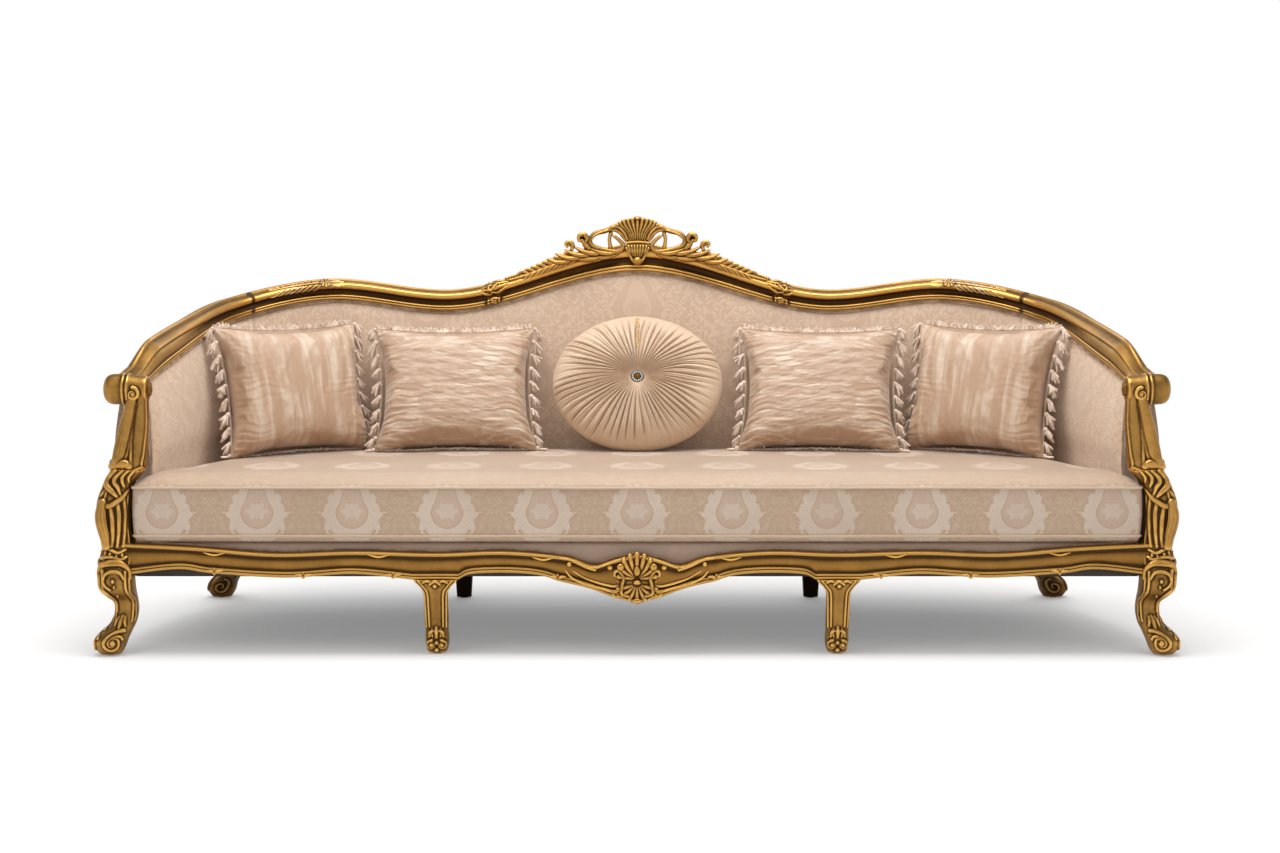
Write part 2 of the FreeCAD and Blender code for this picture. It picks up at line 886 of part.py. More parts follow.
def seat_deck():
    """The stuffed platform under the cushion, with a lip that hides the inner front rail."""
    slab = plan_face(deck_edge_at, deck_bottom, inner_front_rail_y, pad_front_y())
    slab = slab.extrude(Vector(0, 0, deck_top - deck_bottom))
    half = front_leg_x - front_leg_width * 0.55
    lip_corner = Vector(-half, apron_back_y, deck_lip_bottom)
    lip = Part.makeBox(2 * half, deck_lip_thickness, deck_top - deck_lip_bottom, lip_corner)
    bridge_corner = Vector(-half, inner_front_rail_y, deck_bottom)
    bridge = Part.makeBox(2 * half, seat_rail_thickness, deck_top - deck_bottom, bridge_corner)
    return slab.fuse([lip, bridge]).removeSplitter()


def seat_webbing():
    """Interlaced bands tacked over the seat rails."""
    sheet = plan_face(deck_edge_at, seat_rail_top, inner_front_rail_y, pad_front_y())
    sheet = sheet.extrude(Vector(0, 0, webbing_thickness))
    holes = []
    hole_x = webbing_pitch_long - webbing_band
    hole_y = webbing_pitch_across - webbing_band
    start_y = inner_front_rail_y + seat_rail_thickness
    end_y = rear_rail_front_y() - back_lean / 2
    rows = int((end_y - start_y) / webbing_pitch_across)
    columns = int(2 * (front_leg_x - corner_depth / 4) / webbing_pitch_long)
    for row in range(rows):
        for column in range(columns):
            x = (column - columns / 2) * webbing_pitch_long + webbing_band / 2
            y = start_y + row * webbing_pitch_across + webbing_band / 2
            holes.append(Part.makeBox(hole_x, hole_y, webbing_thickness * 3,
                                      Vector(x, y, seat_rail_top - webbing_thickness)))
    return sheet.cut(Part.makeCompound(holes))


def dust_cover_edge_at(distance):
    return frame_outset_at(distance) + seat_rail_thickness * 0.6


def dust_cover():
    start = seat_rail_bottom - dust_cover_thickness
    front_y = inner_front_rail_y + seat_rail_thickness * 0.4
    face = plan_face(dust_cover_edge_at, start, front_y, front_y + seat_rail_thickness)
    return face.extrude(Vector(0, 0, dust_cover_thickness))


# Back and arm frames

def upright(distance, top_drop):
    """A frame post inside the back or an arm, standing on the seat rail under the top rail."""
    wires = []
    low = min(rail_bottom_at(distance - upright_width / 2), rail_bottom_at(distance + upright_width / 2))
    for height in (seat_rail_top, low - top_drop):
        corners = []
        for along, inward in ((-1, 0), (1, 0), (1, 1), (-1, 1)):
            offset = upright_outer_at(distance, height) + inward * upright_thickness
            point, direction = plan_at(distance)
            base = station_point(distance, offset, height)
            shift = Vector(direction[0], direction[1], 0) * (along * upright_width / 2)
            corners.append(base + shift)
        corners.append(corners[0])
        wires.append(Part.makePolygon(corners))
    return Part.makeLoft(wires, True, True)


def stuffing_rail_section(distance):
    """The low rail that the inside upholstery is tacked to, between the uprights."""
    low = deck_bottom + seat_gap
    high = low + stuffing_rail_height
    outer_low = max(upright_outer_at(distance, low), upright_outer_at(distance, high))
    inner_low = min(upright_outer_at(distance, low), upright_outer_at(distance, high)) + upright_thickness
    return [
        [(outer_low + 3.0, low), (inner_low - 3.0, low)],
        [(inner_low - 3.0, low), (inner_low - 3.0, high)],
        [(inner_low - 3.0, high), (outer_low + 3.0, high)],
        [(outer_low + 3.0, high), (outer_low + 3.0, low)],
    ]


def inside_pad_section(distance):
    """The stuffed inside face: it leans along the back, stands up along the arms and is crowned."""
    top = rail_bottom_at(distance) - seat_gap
    low = deck_top + seat_gap
    face_top = rail_width / 2 - pad_face_inset
    rear_top = upright_outer_at(distance, top) + upright_thickness + frame_gap / 2
    rear_low = upright_inner_at(distance) + seat_gap
    face = []
    for share in (0.0, 0.04, 0.25, 0.5, 0.75, 1.0):
        height = blend(top, low, share)
        crown = inside_pad_bulge * math.sin(math.pi * max(0.0, share - 0.04) / 0.96) ** 0.8
        inward = face_top + lean_at(distance, height, back_lean) + crown
        face.append((inward, height))
    return [
        face,
        [(face[-1][0], low), (rear_low, low)],
        [(rear_low, low), (rear_top, top)],
        [(rear_top, top), face[0]],
    ]


def pad_front_y():
    """Where the inside and outside arms end, behind the arm posts and the handholds."""
    post_half = arm_post_shape[1][3] * arm_post_width
    post_back = front_leg_y() - front_leg_shape[-1][2] * front_leg_width + post_half
    handhold_back = handhold_axis_y + handhold_radius
    pad_reach = rail_width / 2 - pad_face_inset + inside_pad_bulge
    return max(post_back, handhold_back) + arm_splay * pad_reach + pad_front_gap


def outside_back_section(distance):
    top = rail_bottom_at(distance) - seat_gap
    low = seat_rail_bottom
    outer_top = -rail_width / 2 + 0.5
    outer_low = frame_outset_at(distance) - outside_back_thickness - seat_gap
    inner_top = outer_top + outside_back_thickness
    inner_low = outer_low + outside_back_thickness
    return [
        [(outer_top, top), (outer_low, low)],
        [(outer_low, low), (inner_low, low)],
        [(inner_low, low), (inner_top, top)],
        [(inner_top, top), (outer_top, top)],
    ]


def outside_arm_section(distance):
    top = rail_bottom_at(distance) - seat_gap
    low = side_apron_top + seat_gap
    outer_top = -rail_width / 2 + 0.5
    outer_low = outer_top + lean_at(distance, low, outside_back_lean)
    inner_top = outer_top + outside_back_thickness
    inner_low = outer_low + outside_back_thickness
    bulge = outside_arm_bulge * arm_share(distance)
    outer = []
    for share in (0.0, 0.25, 0.5, 0.75, 1.0):
        height = blend(top, low, share)
        offset = blend(outer_top, outer_low, share) - bulge * math.sin(math.pi * share)
        outer.append((offset, height))
    return [
        outer,
        [(outer_low, low), (inner_low, low)],
        [(inner_low, low), (inner_top, top)],
        [(inner_top, top), (outer_top, top)],
    ]


def gimp_section(distance):
    """The braid that covers the tacks where the inside upholstery meets the rail."""
    top = rail_bottom_at(distance) - seat_gap
    face = rail_width / 2 - pad_face_inset + gimp_lift
    return [
        [(face, top), (face, top - gimp_width)],
        [(face, top - gimp_width), (face + gimp_thickness, top - gimp_width)],
        [(face + gimp_thickness, top - gimp_width), (face + gimp_thickness, top)],
        [(face + gimp_thickness, top), (face, top)],
    ]


# The seat cushion and its piping

def cushion_edge_at(distance):
    """The cushion's side, clear of the crowned inside pads at every height."""
    lean = blend(back_lean, arm_lean * 0.5, arm_share(distance))
    return rail_width / 2 - pad_face_inset + inside_pad_bulge + lean + loose_gap


def cushion_wire(height, inset):
    """The cushion's outline at a height: curved at the back, with a lobe in front of each inside arm."""
    front_y = -half_depth + cushion_front_inset + inset
    end_distance = distance_at_y(pad_front_y()) + loose_gap + inset * 0.5
    count = 15
    points = []
    for k in range(-count, count + 1):
        distance = end_distance * k / count
        points.append(station_point(distance, cushion_edge_at(distance) + inset, height))
    front_x = front_leg_x - front_leg_width * 0.44 - loose_gap - inset
    curve = Part.BSplineCurve()
    curve.interpolate(points)
    corners = [
        points[-1],
        Vector(front_x, points[-1].y, height),
        Vector(front_x, front_y, height),
        Vector(-front_x, front_y, height),
        Vector(-front_x, points[0].y, height),
        points[0],
    ]
    edges = [curve.toShape()]
    for first, second in zip(corners, corners[1:]):
        edges.append(Part.LineSegment(first, second).toShape())
    return Part.Wire(edges)


def seat_cushion():
    """The long cushion: drawn in at its piped edges and fuller between them, with a crowned top."""
    lower = cushion_bottom + piping_diameter
    upper = cushion_top - cushion_crown - piping_diameter
    waist = piping_diameter * 0.6
    levels = [
        (cushion_bottom, cushion_edge_radius * 0.7),
        (lower, waist),
        (blend(lower, upper, 0.25), waist * 0.3),
        (blend(lower, upper, 0.75), waist * 0.3),
        (upper, waist),
        (cushion_top - cushion_crown * 0.5, cushion_edge_radius),
        (cushion_top, cushion_edge_radius * 1.6),
    ]
    wires = [cushion_wire(height, inset) for height, inset in reversed(levels)]
    return Part.makeLoft(wires, True, True)


# Pillows

def pillow_wire(scale, offset, width, height):
    """A square pillow's outline at one depth: its sides are drawn in between its corners."""
    points = []
    per_side = 4
    corners = [(1, 1), (-1, 1), (-1, -1), (1, -1)]
    for k, corner in enumerate(corners):
        following = corners[(k + 1) % 4]
        for step in range(per_side):
            share = step / per_side
            pinch = 1 - pillow_pinch * math.sin(math.pi * share)
            x = blend(corner[0], following[0], share)
            y = blend(corner[1], following[1], share)
            x = x * pinch if abs(x) > 0.999 else x
            y = y * pinch if abs(y) > 0.999 else y
            round_off = 0.97 if step == 0 else 1.0
            points.append(Vector(x * width / 2 * scale * round_off, offset, y * height / 2 * scale * round_off))
    curve = Part.BSplineCurve()
    curve.interpolate(points, PeriodicFlag=True)
    return Part.Wire([curve.toShape()])


def square_pillow(width, height):
    """A throw pillow, standing, with its face towards the front."""
    depths = [(-0.5, 0.46), (-0.42, 0.70), (-0.24, 0.90), (0.0, 1.0), (0.24, 0.90), (0.42, 0.70), (0.5, 0.46)]
    wires = []
    for depth, scale in depths:
        wires.append(pillow_wire(scale, depth * pillow_thickness, width, height))
    return Part.makeLoft(wires, True, False)


def leaned(shape, lean, turn, x, y):
    """Leaned back, turned about the vertical and moved over the seat."""
    shape = shape.rotated(Vector(0, 0, 0), Vector(1, 0, 0), -lean)
    shape = shape.rotated(Vector(0, 0, 0), Vector(0, 0, 1), turn)
    return shape.translated(Vector(x, y, 0))


def round_pillow_parts():
    """The round pleated pillow, drawn in at its middle, and its button, both facing the front."""
    depths = [(-0.5, 0.50), (-0.40, 0.80), (-0.22, 0.95), (0.0, 1.0), (0.22, 0.95), (0.40, 0.80), (0.5, 0.50)]
    wires = []
    for depth, scale in depths:
        ellipse = Part.Ellipse(Vector(0, 0, 0), round_pillow_width / 2 * scale, round_pillow_height / 2 * scale)
        ring = Part.Wire([ellipse.toShape()])
        ring = ring.rotated(Vector(0, 0, 0), Vector(1, 0, 0), 90)
        wires.append(ring.translated(Vector(0, depth * round_pillow_thickness, 0)))
    body = Part.makeLoft(wires, True, False)
    face = Vector(0, -round_pillow_thickness / 2, 0)
    button_radius = button_diameter / 2
    dimple = Part.makeCone(button_radius * 3.2, button_radius + seat_gap, round_pillow_dimple, face,
                           Vector(0, 1, 0))
    body = body.cut(dimple)
    start = face + Vector(0, round_pillow_dimple - seat_gap, 0)
    button = Part.makeCone(button_radius * 0.9, button_radius * 0.6, button_height, start, Vector(0, -1, 0))
    return body, button


def placed_round_pillow():
    body, button = round_pillow_parts()
    pair = [leaned(shape, pillow_lean, 0.0, 0.0, round_pillow_y) for shape in (body, button)]
    lift = cushion_top + seat_gap - lowest_point(pair[0])
    return [shape.translated(Vector(0, 0, lift)) for shape in pair]


# Carved ornaments

def crest_outline():
    """The right half of the crest's outline, from its top knob down to its lower lobe."""
    top = crest_height
    rail = crest_rail_top
    rise = top - rail
    shell = crest_shell_half_width
    return [
        (0.0, top),
        (shell * 0.42, top - rise * 0.10),
        (shell * 0.90, top - rise * 0.40),
        (shell * 1.05, rail + rise * 0.52),
        (shell * 1.60, rail + rise * 0.46),
        (crest_half_width * 0.78, rail + rise * 0.26),
        (crest_half_width, rail + rise * 0.02),
    ]


def crest_shell():
    """The pierced crest: a shell over two looped scrolls, standing on the top rail's front half."""
    outline = crest_outline()
    front_y = back_y - rail_width / 2 - crest_thickness * 0.25
    lobe = crest_rail_top - crest_lobe_drop
    foot = crest_rail_top - crest_rail_height * 0.35
    edges = []
    for side in (-1, 1):
        corners = [Vector(side * x, front_y, height) for x, height in outline]
        curve = Part.BSplineCurve()
        curve.interpolate(corners)
        edges.append(curve.toShape())
        end = corners[-1]
        heel = Vector(end.x, front_y, foot - crest_rail_height * 0.3)
        waist = Vector(side * crest_shell_half_width * 0.7, front_y, foot - crest_rail_height * 0.1)
        edges.append(Part.LineSegment(end, heel).toShape())
        edges.append(Part.LineSegment(heel, waist).toShape())
        edges.append(Part.LineSegment(waist, Vector(0, front_y, lobe)).toShape())
    wire = Part.Wire(Part.__sortEdges__(edges))
    plate = Part.Face(wire).extrude(Vector(0, crest_thickness, 0))
    hole_bottom = crest_rail_top + 2.0
    openings = []
    for side in (-1, 1):
        start = crest_shell_half_width * 0.72
        split = start + crest_opening_width * 0.28
        spans = [
            (start, split - crest_strut_width / 2, 0.55),
            (split + crest_strut_width / 2, start + crest_opening_width, 1.0),
        ]
        for inner_x, outer_x, height_share in spans:
            width = outer_x - inner_x
            radius = min(width, crest_opening_height * height_share) * 0.45
            left = inner_x if side > 0 else -outer_x
            corner = Vector(left, front_y - crest_thickness, hole_bottom)
            hole = Part.makeBox(width, 3 * crest_thickness, crest_opening_height * height_share, corner)
            upright_edges = [edge for edge in hole.Edges if abs(edge.tangentAt(edge.FirstParameter).y) > 0.9]
            openings.append(hole.makeFillet(radius, upright_edges))
    return plate.cut(Part.makeCompound(openings))


def crest_spray_section(distance):
    """A leaf spray along the rail's top, tapering away from the crest."""
    start = crest_half_width + joint_gap
    share = (distance - start) / (spray_end_distance - start)
    height = spray_height * (1 - 0.75 * share)
    half = rail_width * 0.22 * (1 - 0.5 * share)
    base = rail_top_at(distance) - rail_height_at(distance) * 0.2
    top = rail_top_at(distance) + height
    return [
        [(-half, base), (half * 1.6, base)],
        [(half * 1.6, base), (half * 1.2, blend(base, top, 0.6)), (0.0, top),
         (-half, blend(base, top, 0.6)), (-half, base)],
    ]


def rosette(rail):
    """A flower with a trailing leaf on the shoulder of the top rail."""
    point, direction = plan_at(rosette_distance)
    along = Vector(direction[0], direction[1], 0)
    height = rail_top_at(rosette_distance) - rail_height_at(rosette_distance) * 0.22
    centre = station_point(rosette_distance, rail_width * 0.36, height)
    flower = Part.makeSphere(rosette_radius, centre)
    leaf = Part.makeSphere(rosette_radius * 0.8)
    stretch = FreeCAD.Matrix()
    stretch.scale(Vector(rosette_leaf_length / (1.6 * rosette_radius), 0.75, 0.8))
    leaf = leaf.transformGeometry(stretch)
    angle = math.degrees(math.atan2(along.y, along.x))
    leaf = leaf.rotated(Vector(0, 0, 0), Vector(0, 0, 1), angle)
    slope = rail_top_at(rosette_distance + rosette_leaf_length / 2) - rail_top_at(rosette_distance)
    reach = along * (rosette_leaf_length * 0.5)
    leaf = leaf.translated(centre + reach + Vector(0, 0, slope))
    ornament = flower.fuse(leaf).cut(rail)
    return largest_solid(ornament)


# Everything together

def build():
    parts = {}

    centre_end = collar_start - joint_gap
    centre_rail = sweep(-centre_end, centre_end, rail_section)
    back_rail = sweep(collar_end + joint_gap, corner_joint_distance, rail_section)
    arm_rail = sweep(corner_joint_distance, arm_front_distance, rail_section)
    right_dowels = rail_dowels(crest_joint_distance) + rail_dowels(corner_joint_distance)
    dowel_group = Part.makeCompound(right_dowels)
    band = largest_solid(collar().cut(dowel_group))
    flower = rosette(back_rail)
    spray = sweep(crest_half_width + joint_gap, spray_end_distance, crest_spray_section, 30.0)
    spray = largest_solid(spray.cut(centre_rail))
    crest = largest_solid(crest_shell().cut(centre_rail))
    centre_rail = centre_rail.cut(dowel_group).cut(mirrored(dowel_group))
    back_rail = back_rail.cut(dowel_group)
    arm_rail = arm_rail.cut(dowel_group)

    leg = front_leg()
    handhold_roll, handhold_start = handhold()
    arm_rail = largest_solid(arm_rail.cut(handhold_roll))
    column = largest_solid(arm_post().cut(handhold_roll).cut(arm_rail))
    handhold_eye_piece = handhold_eye(handhold_start)
    column = largest_solid(column.cut(handhold_eye_piece))

    front_board = front_apron()
    front_board = largest_solid(front_board.cut(leg).cut(mirrored(leg)))
    side_end = distance_at_y(front_leg_y())
    side_board = sweep(corner_joint_distance, side_end, side_apron_section)
    side_board = largest_solid(side_board.cut(leg).cut(front_board))

    front_rail = inner_front_rail()
    front_rail = largest_solid(front_rail.cut(leg).cut(mirrored(leg)))
    front_rail = largest_solid(front_rail.cut(side_board).cut(mirrored(side_board)))
    rail_joint = corner_joint_distance
    rear_rail = sweep(-rail_joint, rail_joint, frame_rail_section)
    side_rail_end = distance_at_y(inner_front_rail_y + seat_rail_thickness)
    side_rail = sweep(rail_joint, side_rail_end, frame_rail_section)
    side_rail = largest_solid(side_rail.cut(front_rail).cut(leg).cut(side_board))

    blocks = []
    screws = []
    for side in (-1, 1):
        fixing = block_screws(side)
        screws += fixing
        blocks.append(corner_block(side))
    screw_group = Part.makeCompound(screws)
    side_rails = Part.makeCompound([side_rail, mirrored(side_rail)])
    blocks = [largest_solid(block.cut(side_rails).cut(screw_group)) for block in blocks]
    front_rail = largest_solid(front_rail.cut(screw_group))
    left_side_rail = largest_solid(mirrored(side_rail).cut(screw_group))
    right_side_rail = largest_solid(side_rail.cut(screw_group))

    deck = seat_deck()
    both_legs = Part.makeCompound([leg, mirrored(leg)])
    deck = largest_solid(deck.cut(both_legs))
    webbing = largest_solid(seat_webbing().cut(both_legs))
    hind_leg = rear_leg()
    hind_middle_leg = rear_middle_leg()
    hind_legs = Part.makeCompound([hind_leg, mirrored(hind_leg), hind_middle_leg, mirrored(hind_middle_leg)])
    cover = largest_solid(dust_cover().cut(both_legs).cut(hind_legs))

    pad_end = distance_at_y(pad_front_y())
    upright_distances = [0.0, crest_joint_distance, 0.88 * corner_joint_distance]
    back_uprights = []
    for distance in upright_distances:
        piece = upright(distance, seat_gap)
        back_uprights.append(piece)
        if distance > 0:
            back_uprights.append(mirrored(piece))
    arm_upright_distances = [blend(corner_distance, arm_front_distance, share) for share in (0.3, 0.7)]
    inside_arm = sweep(rail_joint + joint_gap, pad_end, inside_pad_section)
    outside_arm = sweep(rail_joint + joint_gap, pad_end, outside_arm_section)
    arm_uprights = []
    for distance in arm_upright_distances:
        piece = upright(distance, seat_gap).cut(outside_arm).cut(inside_arm)
        arm_uprights.append(largest_solid(piece))
    back_stuffing = sweep(-rail_joint, rail_joint, stuffing_rail_section)
    back_stuffing = back_stuffing.cut(Part.makeCompound(back_uprights))
    arm_stuffing = sweep(rail_joint, pad_end, stuffing_rail_section)
    arm_stuffing = arm_stuffing.cut(Part.makeCompound(arm_uprights))

    inside_back = sweep(-rail_joint, rail_joint, inside_pad_section)
    outside_back = sweep(-rail_joint, rail_joint, outside_back_section)
    back_gimp = largest_solid(sweep(-rail_joint, rail_joint, gimp_section).cut(inside_back))
    arm_gimp = largest_solid(sweep(rail_joint + joint_gap, pad_end, gimp_section).cut(inside_arm))

    cushion = seat_cushion()
    inner_pillow = square_pillow(inner_pillow_width, inner_pillow_height)
    inner_pillow = leaned(inner_pillow, pillow_lean, -inner_pillow_turn, inner_pillow_x, inner_pillow_y)
    inner_pillow = seated_on(inner_pillow, cushion_top)
    outer_pillow = square_pillow(outer_pillow_width, outer_pillow_height)
    outer_pillow = leaned(outer_pillow, outer_pillow_lean, -outer_pillow_turn, outer_pillow_x, outer_pillow_y)
    outer_pillow = seated_on(outer_pillow, cushion_top)
    round_body, round_button = placed_round_pillow()

    parts["crest_rail_center"] = centre_rail
    for name, shape in (
        ("crest_rail", back_rail),
        ("arm_rail", arm_rail),
        ("arm_handhold", handhold_roll),
        ("arm_post", column),
        ("front_leg", leg),
        ("front_middle_leg", middle_leg()),
        ("rear_leg", hind_leg),
        ("rear_middle_leg", hind_middle_leg),
        ("rail_collar", band),
        ("rail_rosette", flower),
        ("crest_spray", spray),
        ("side_apron", side_board),
        ("inside_arm", inside_arm),
        ("outside_arm", outside_arm),
        ("pillow_inner", inner_pillow),
        ("pillow_outer", outer_pillow),
    ):
        parts[name + "_right"] = shape
        parts[name + "_left"] = mirrored(shape)
    parts["side_seat_rail_left"] = left_side_rail
    parts["side_seat_rail_right"] = right_side_rail
    parts["crest_shell"] = crest
    parts["front_apron"] = front_board
    parts["apron_shell"] = apron_shell()
    parts["inner_front_rail"] = front_rail
    parts["rear_seat_rail"] = rear_rail
    parts["cross_rails"] = Part.makeCompound(cross_rails())
    parts["corner_blocks"] = Part.makeCompound(blocks)
    parts["corner_block_screws"] = screw_group
    left_dowels = [mirrored(dowel) for dowel in right_dowels]
    parts["rail_dowels"] = Part.makeCompound(right_dowels + left_dowels)
    parts["back_uprights"] = Part.makeCompound(back_uprights)
    parts["back_stuffing_rail"] = back_stuffing
    parts["seat_deck"] = deck
    parts["seat_webbing"] = webbing
    parts["dust_cover"] = cover
    parts["inside_back"] = inside_back
    parts["outside_back"] = outside_back
    parts["gimp_braid"] = Part.makeCompound([back_gimp, arm_gimp, mirrored(arm_gimp)])
    parts["handhold_eyes"] = Part.makeCompound([handhold_eye_piece, mirrored(handhold_eye_piece)])
    both_sides = arm_uprights + [mirrored(piece) for piece in arm_uprights]
    parts["arm_uprights"] = Part.makeCompound(both_sides)
    both_sides = arm_stuffing.Solids + [mirrored(piece) for piece in arm_stuffing.Solids]
    parts["arm_stuffing_rails"] = Part.makeCompound(both_sides)
    parts["foot_glides"] = Part.makeCompound(foot_glides())
    parts["seat_cushion"] = cushion
    parts["round_pillow"] = round_body
    parts["round_pillow_button"] = round_button
    return parts


def export(parts):
    os.makedirs("parts", exist_ok=True)
    low = [1e9, 1e9, 1e9]
    high = [-1e9, -1e9, -1e9]
    for name in sorted(parts):
        shape = parts[name]
        box = shape.optimalBoundingBox()
        for axis, (least, most) in enumerate((
            (box.XMin, box.XMax), (box.YMin, box.YMax), (box.ZMin, box.ZMax),
        )):
            low[axis] = min(low[axis], least)
            high[axis] = max(high[axis], most)
        good = shape.isValid()
        print(f"{name}: {len(shape.Solids)} solids, {shape.Volume / 1000:.1f} cm3, valid {good}")
        shape.exportStep(os.path.join("parts", name + ".step"))
    print("nodes", len(parts))
    print("box", [round(value, 1) for value in low], [round(value, 1) for value in high])


export(build())
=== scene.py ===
import math

import bpy
import numpy as np
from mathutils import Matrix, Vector


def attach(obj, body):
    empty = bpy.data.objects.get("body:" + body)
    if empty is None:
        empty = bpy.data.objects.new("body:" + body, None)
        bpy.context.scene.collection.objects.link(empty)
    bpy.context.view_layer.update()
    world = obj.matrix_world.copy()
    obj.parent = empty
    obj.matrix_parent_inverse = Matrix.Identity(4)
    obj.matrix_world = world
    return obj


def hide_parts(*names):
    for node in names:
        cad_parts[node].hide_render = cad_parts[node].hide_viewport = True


# The looks of the carved and gilded cabriole sofa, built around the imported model.
# Shapes are worked out in millimetres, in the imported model's frame, and turned into metres by
# raw_object().

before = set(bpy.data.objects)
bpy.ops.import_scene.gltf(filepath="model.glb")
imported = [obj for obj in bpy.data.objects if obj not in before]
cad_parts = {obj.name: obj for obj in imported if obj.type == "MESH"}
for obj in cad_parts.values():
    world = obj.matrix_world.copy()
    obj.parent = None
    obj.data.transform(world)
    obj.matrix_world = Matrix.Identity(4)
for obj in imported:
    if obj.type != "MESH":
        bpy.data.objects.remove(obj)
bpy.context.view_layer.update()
MM = 0.001

# Camera, at the photograph's viewing angle
camera = bpy.data.objects.new("camera", bpy.data.cameras.new("camera"))
bpy.context.collection.objects.link(camera)
camera.location = (0.00735, -5.3248, 1.0477)
camera.rotation_euler = (math.radians(90 - 5.535), 0, 0)
camera.data.sensor_width = 36.0
camera.data.lens = 56.25
bpy.context.scene.camera = camera

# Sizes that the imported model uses, in millimetres
rail_half = 32.0
arm_front_half_span = 1258.0
arm_front_y = -366.0
arm_splay = 0.162
corner_start_y = -100.0
corner_depth = 518.0
corner_exponent = 4.5
inner_lean = 80.0
outer_lean = 44.0
arm_lean = -16.0
pad_inset = 24.0
pad_crown = 20.0
deck_top = 283.5
cushion_low = 283.9
cushion_high = 449.9
cushion_front_y = -424.0
cushion_gap = 1.5
seat_spine_half = 960.0
seat_spine_y = -60.0
pillow_rest = 450.3
apron_front_y = -430.0
collar_start = 390.7
collar_end = 429.3
corner_joint = 1120.0
handhold_y = -386.0
handhold_z = 662.0
foot_low = 3.0
leg_x = 1290.0
leg_y = -384.48
leg_width = 84.0
leg_top = 462.0
post_width = 88.0
middle_x = 500.0
throw_thickness = 126.0
round_half_width = 235.0
round_half_height = 201.0
round_lean = 27.0
round_y = 222.0
carving_low = np.array([-1352.5, -450.4, 2.0])
carving_high = np.array([1352.5, 449.5, 1094.6])
side_names = ((1, "right"), (-1, "left"))

# How full the throw pillows' trimming is
tufts_per_side = 10
strands_per_tuft = 24


# Number helpers

def lerp(a, b, t):
    return a + (b - a) * t


def ease(value, start, end):
    t = np.clip((value - start) / (end - start), 0, 1)
    return t * t * (3 - 2 * t)


def smooth_through(places, values):
    """A smooth curve through values that never overshoots them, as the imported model's rail follows."""
    places = np.array(places, float)
    values = np.array(values, float)
    steps = np.diff(values) / np.diff(places)
    slopes = np.zeros(len(places))
    for k in range(1, len(places) - 1):
        if steps[k - 1] * steps[k] > 0:
            slopes[k] = 2 * steps[k - 1] * steps[k] / (steps[k - 1] + steps[k])
    slopes[-1] = steps[-1]

    def at(x):
        x = np.clip(x, places[0], places[-1])
        k = np.clip(np.searchsorted(places, x, side="right") - 1, 0, len(places) - 2)
        run = places[k + 1] - places[k]
        t = (x - places[k]) / run
        rise = (2 * t**3 - 3 * t**2 + 1) * values[k] + (3 * t**2 - 2 * t**3) * values[k + 1]
        turn = (t**3 - 2 * t**2 + t) * slopes[k] + (t**3 - t**2) * slopes[k + 1]
        return rise + turn * run
    return at


def spline(points, count):
    """A smooth open curve through points (rows of any width), evenly spread over its spans."""
    p = np.array(points, float)
    if p.ndim == 1:
        p = p[:, None]
    if len(p) == 2:
        t = np.linspace(0, 1, count)[:, None]
        return p[0] * (1 - t) + p[1] * t
    ext = np.vstack([2 * p[0] - p[1], p, 2 * p[-1] - p[-2]])
    t = np.linspace(0, len(p) - 1, count)
    k = np.minimum(t.astype(int), len(p) - 2)
    f = (t - k)[:, None]
    a, b, c, d = ext[k], ext[k + 1], ext[k + 2], ext[k + 3]
    return 0.5 * (2 * b + (c - a) * f + (2 * a - 5 * b + 4 * c - d) * f**2 + (3 * b - a - 3 * c + d) * f**3)


def full_turn(count):
    """Evenly spread angles of a full turn."""
    return np.linspace(0, 2 * math.pi, count, endpoint=False)


def distances(points):
    """How far along a line each of its points lies."""
    return np.append(0.0, np.cumsum(np.linalg.norm(np.diff(points, axis=0), axis=1)))


def along_line(at, run, points):
    """Places at given distances along a line whose points lie at the distances in run."""
    return np.column_stack([np.interp(at, run, values) for values in np.asarray(points).T])


def unit(v):
    return v / np.maximum(np.linalg.norm(v, axis=-1, keepdims=True), 1e-9)


def wave_noise(*axes, seed=0, octaves=4, base=1.0):
    """A smooth field of about -1 to 1 from a sum of seeded sine waves; base is waves per unit."""
    rng = np.random.default_rng(seed)
    total = np.zeros(np.broadcast(*axes).shape)
    weight = 0.0
    for octave in range(octaves):
        for _ in range(5):
            direction = rng.normal(size=len(axes))
            direction /= np.linalg.norm(direction)
            phase = rng.uniform(0, 2 * math.pi)
            scale = base * 2**octave * rng.uniform(0.7, 1.4) * 2 * math.pi
            field = sum(a * d for a, d in zip(axes, direction)) * scale + phase
            total = total + np.sin(field) * 0.6**octave
            weight += 0.6**octave
    return total / weight * 2.0


# The plan of the top rail and its heights

def plan_table():
    angle = np.linspace(0, math.pi / 2, 2401)
    y = corner_start_y + corner_depth * np.clip(np.cos(angle), 0, 1) ** (2 / corner_exponent)
    x = (arm_front_half_span - arm_splay * (y - arm_front_y)) * np.sin(angle) ** (2 / corner_exponent)
    arm_y = np.linspace(corner_start_y, arm_front_y - 120, 300)[1:]
    arm_x = arm_front_half_span - arm_splay * (arm_y - arm_front_y)
    points = np.column_stack([np.append(x, arm_x), np.append(y, arm_y)])
    return points, distances(points)


plan, plan_length = plan_table()


def distance_at_y(y):
    return float(plan_length[np.argmax(plan[:, 1] <= y)])


arm_front_d = distance_at_y(arm_front_y)
corner_start_d = distance_at_y(corner_start_y)
pad_end_d = distance_at_y(-338.5)


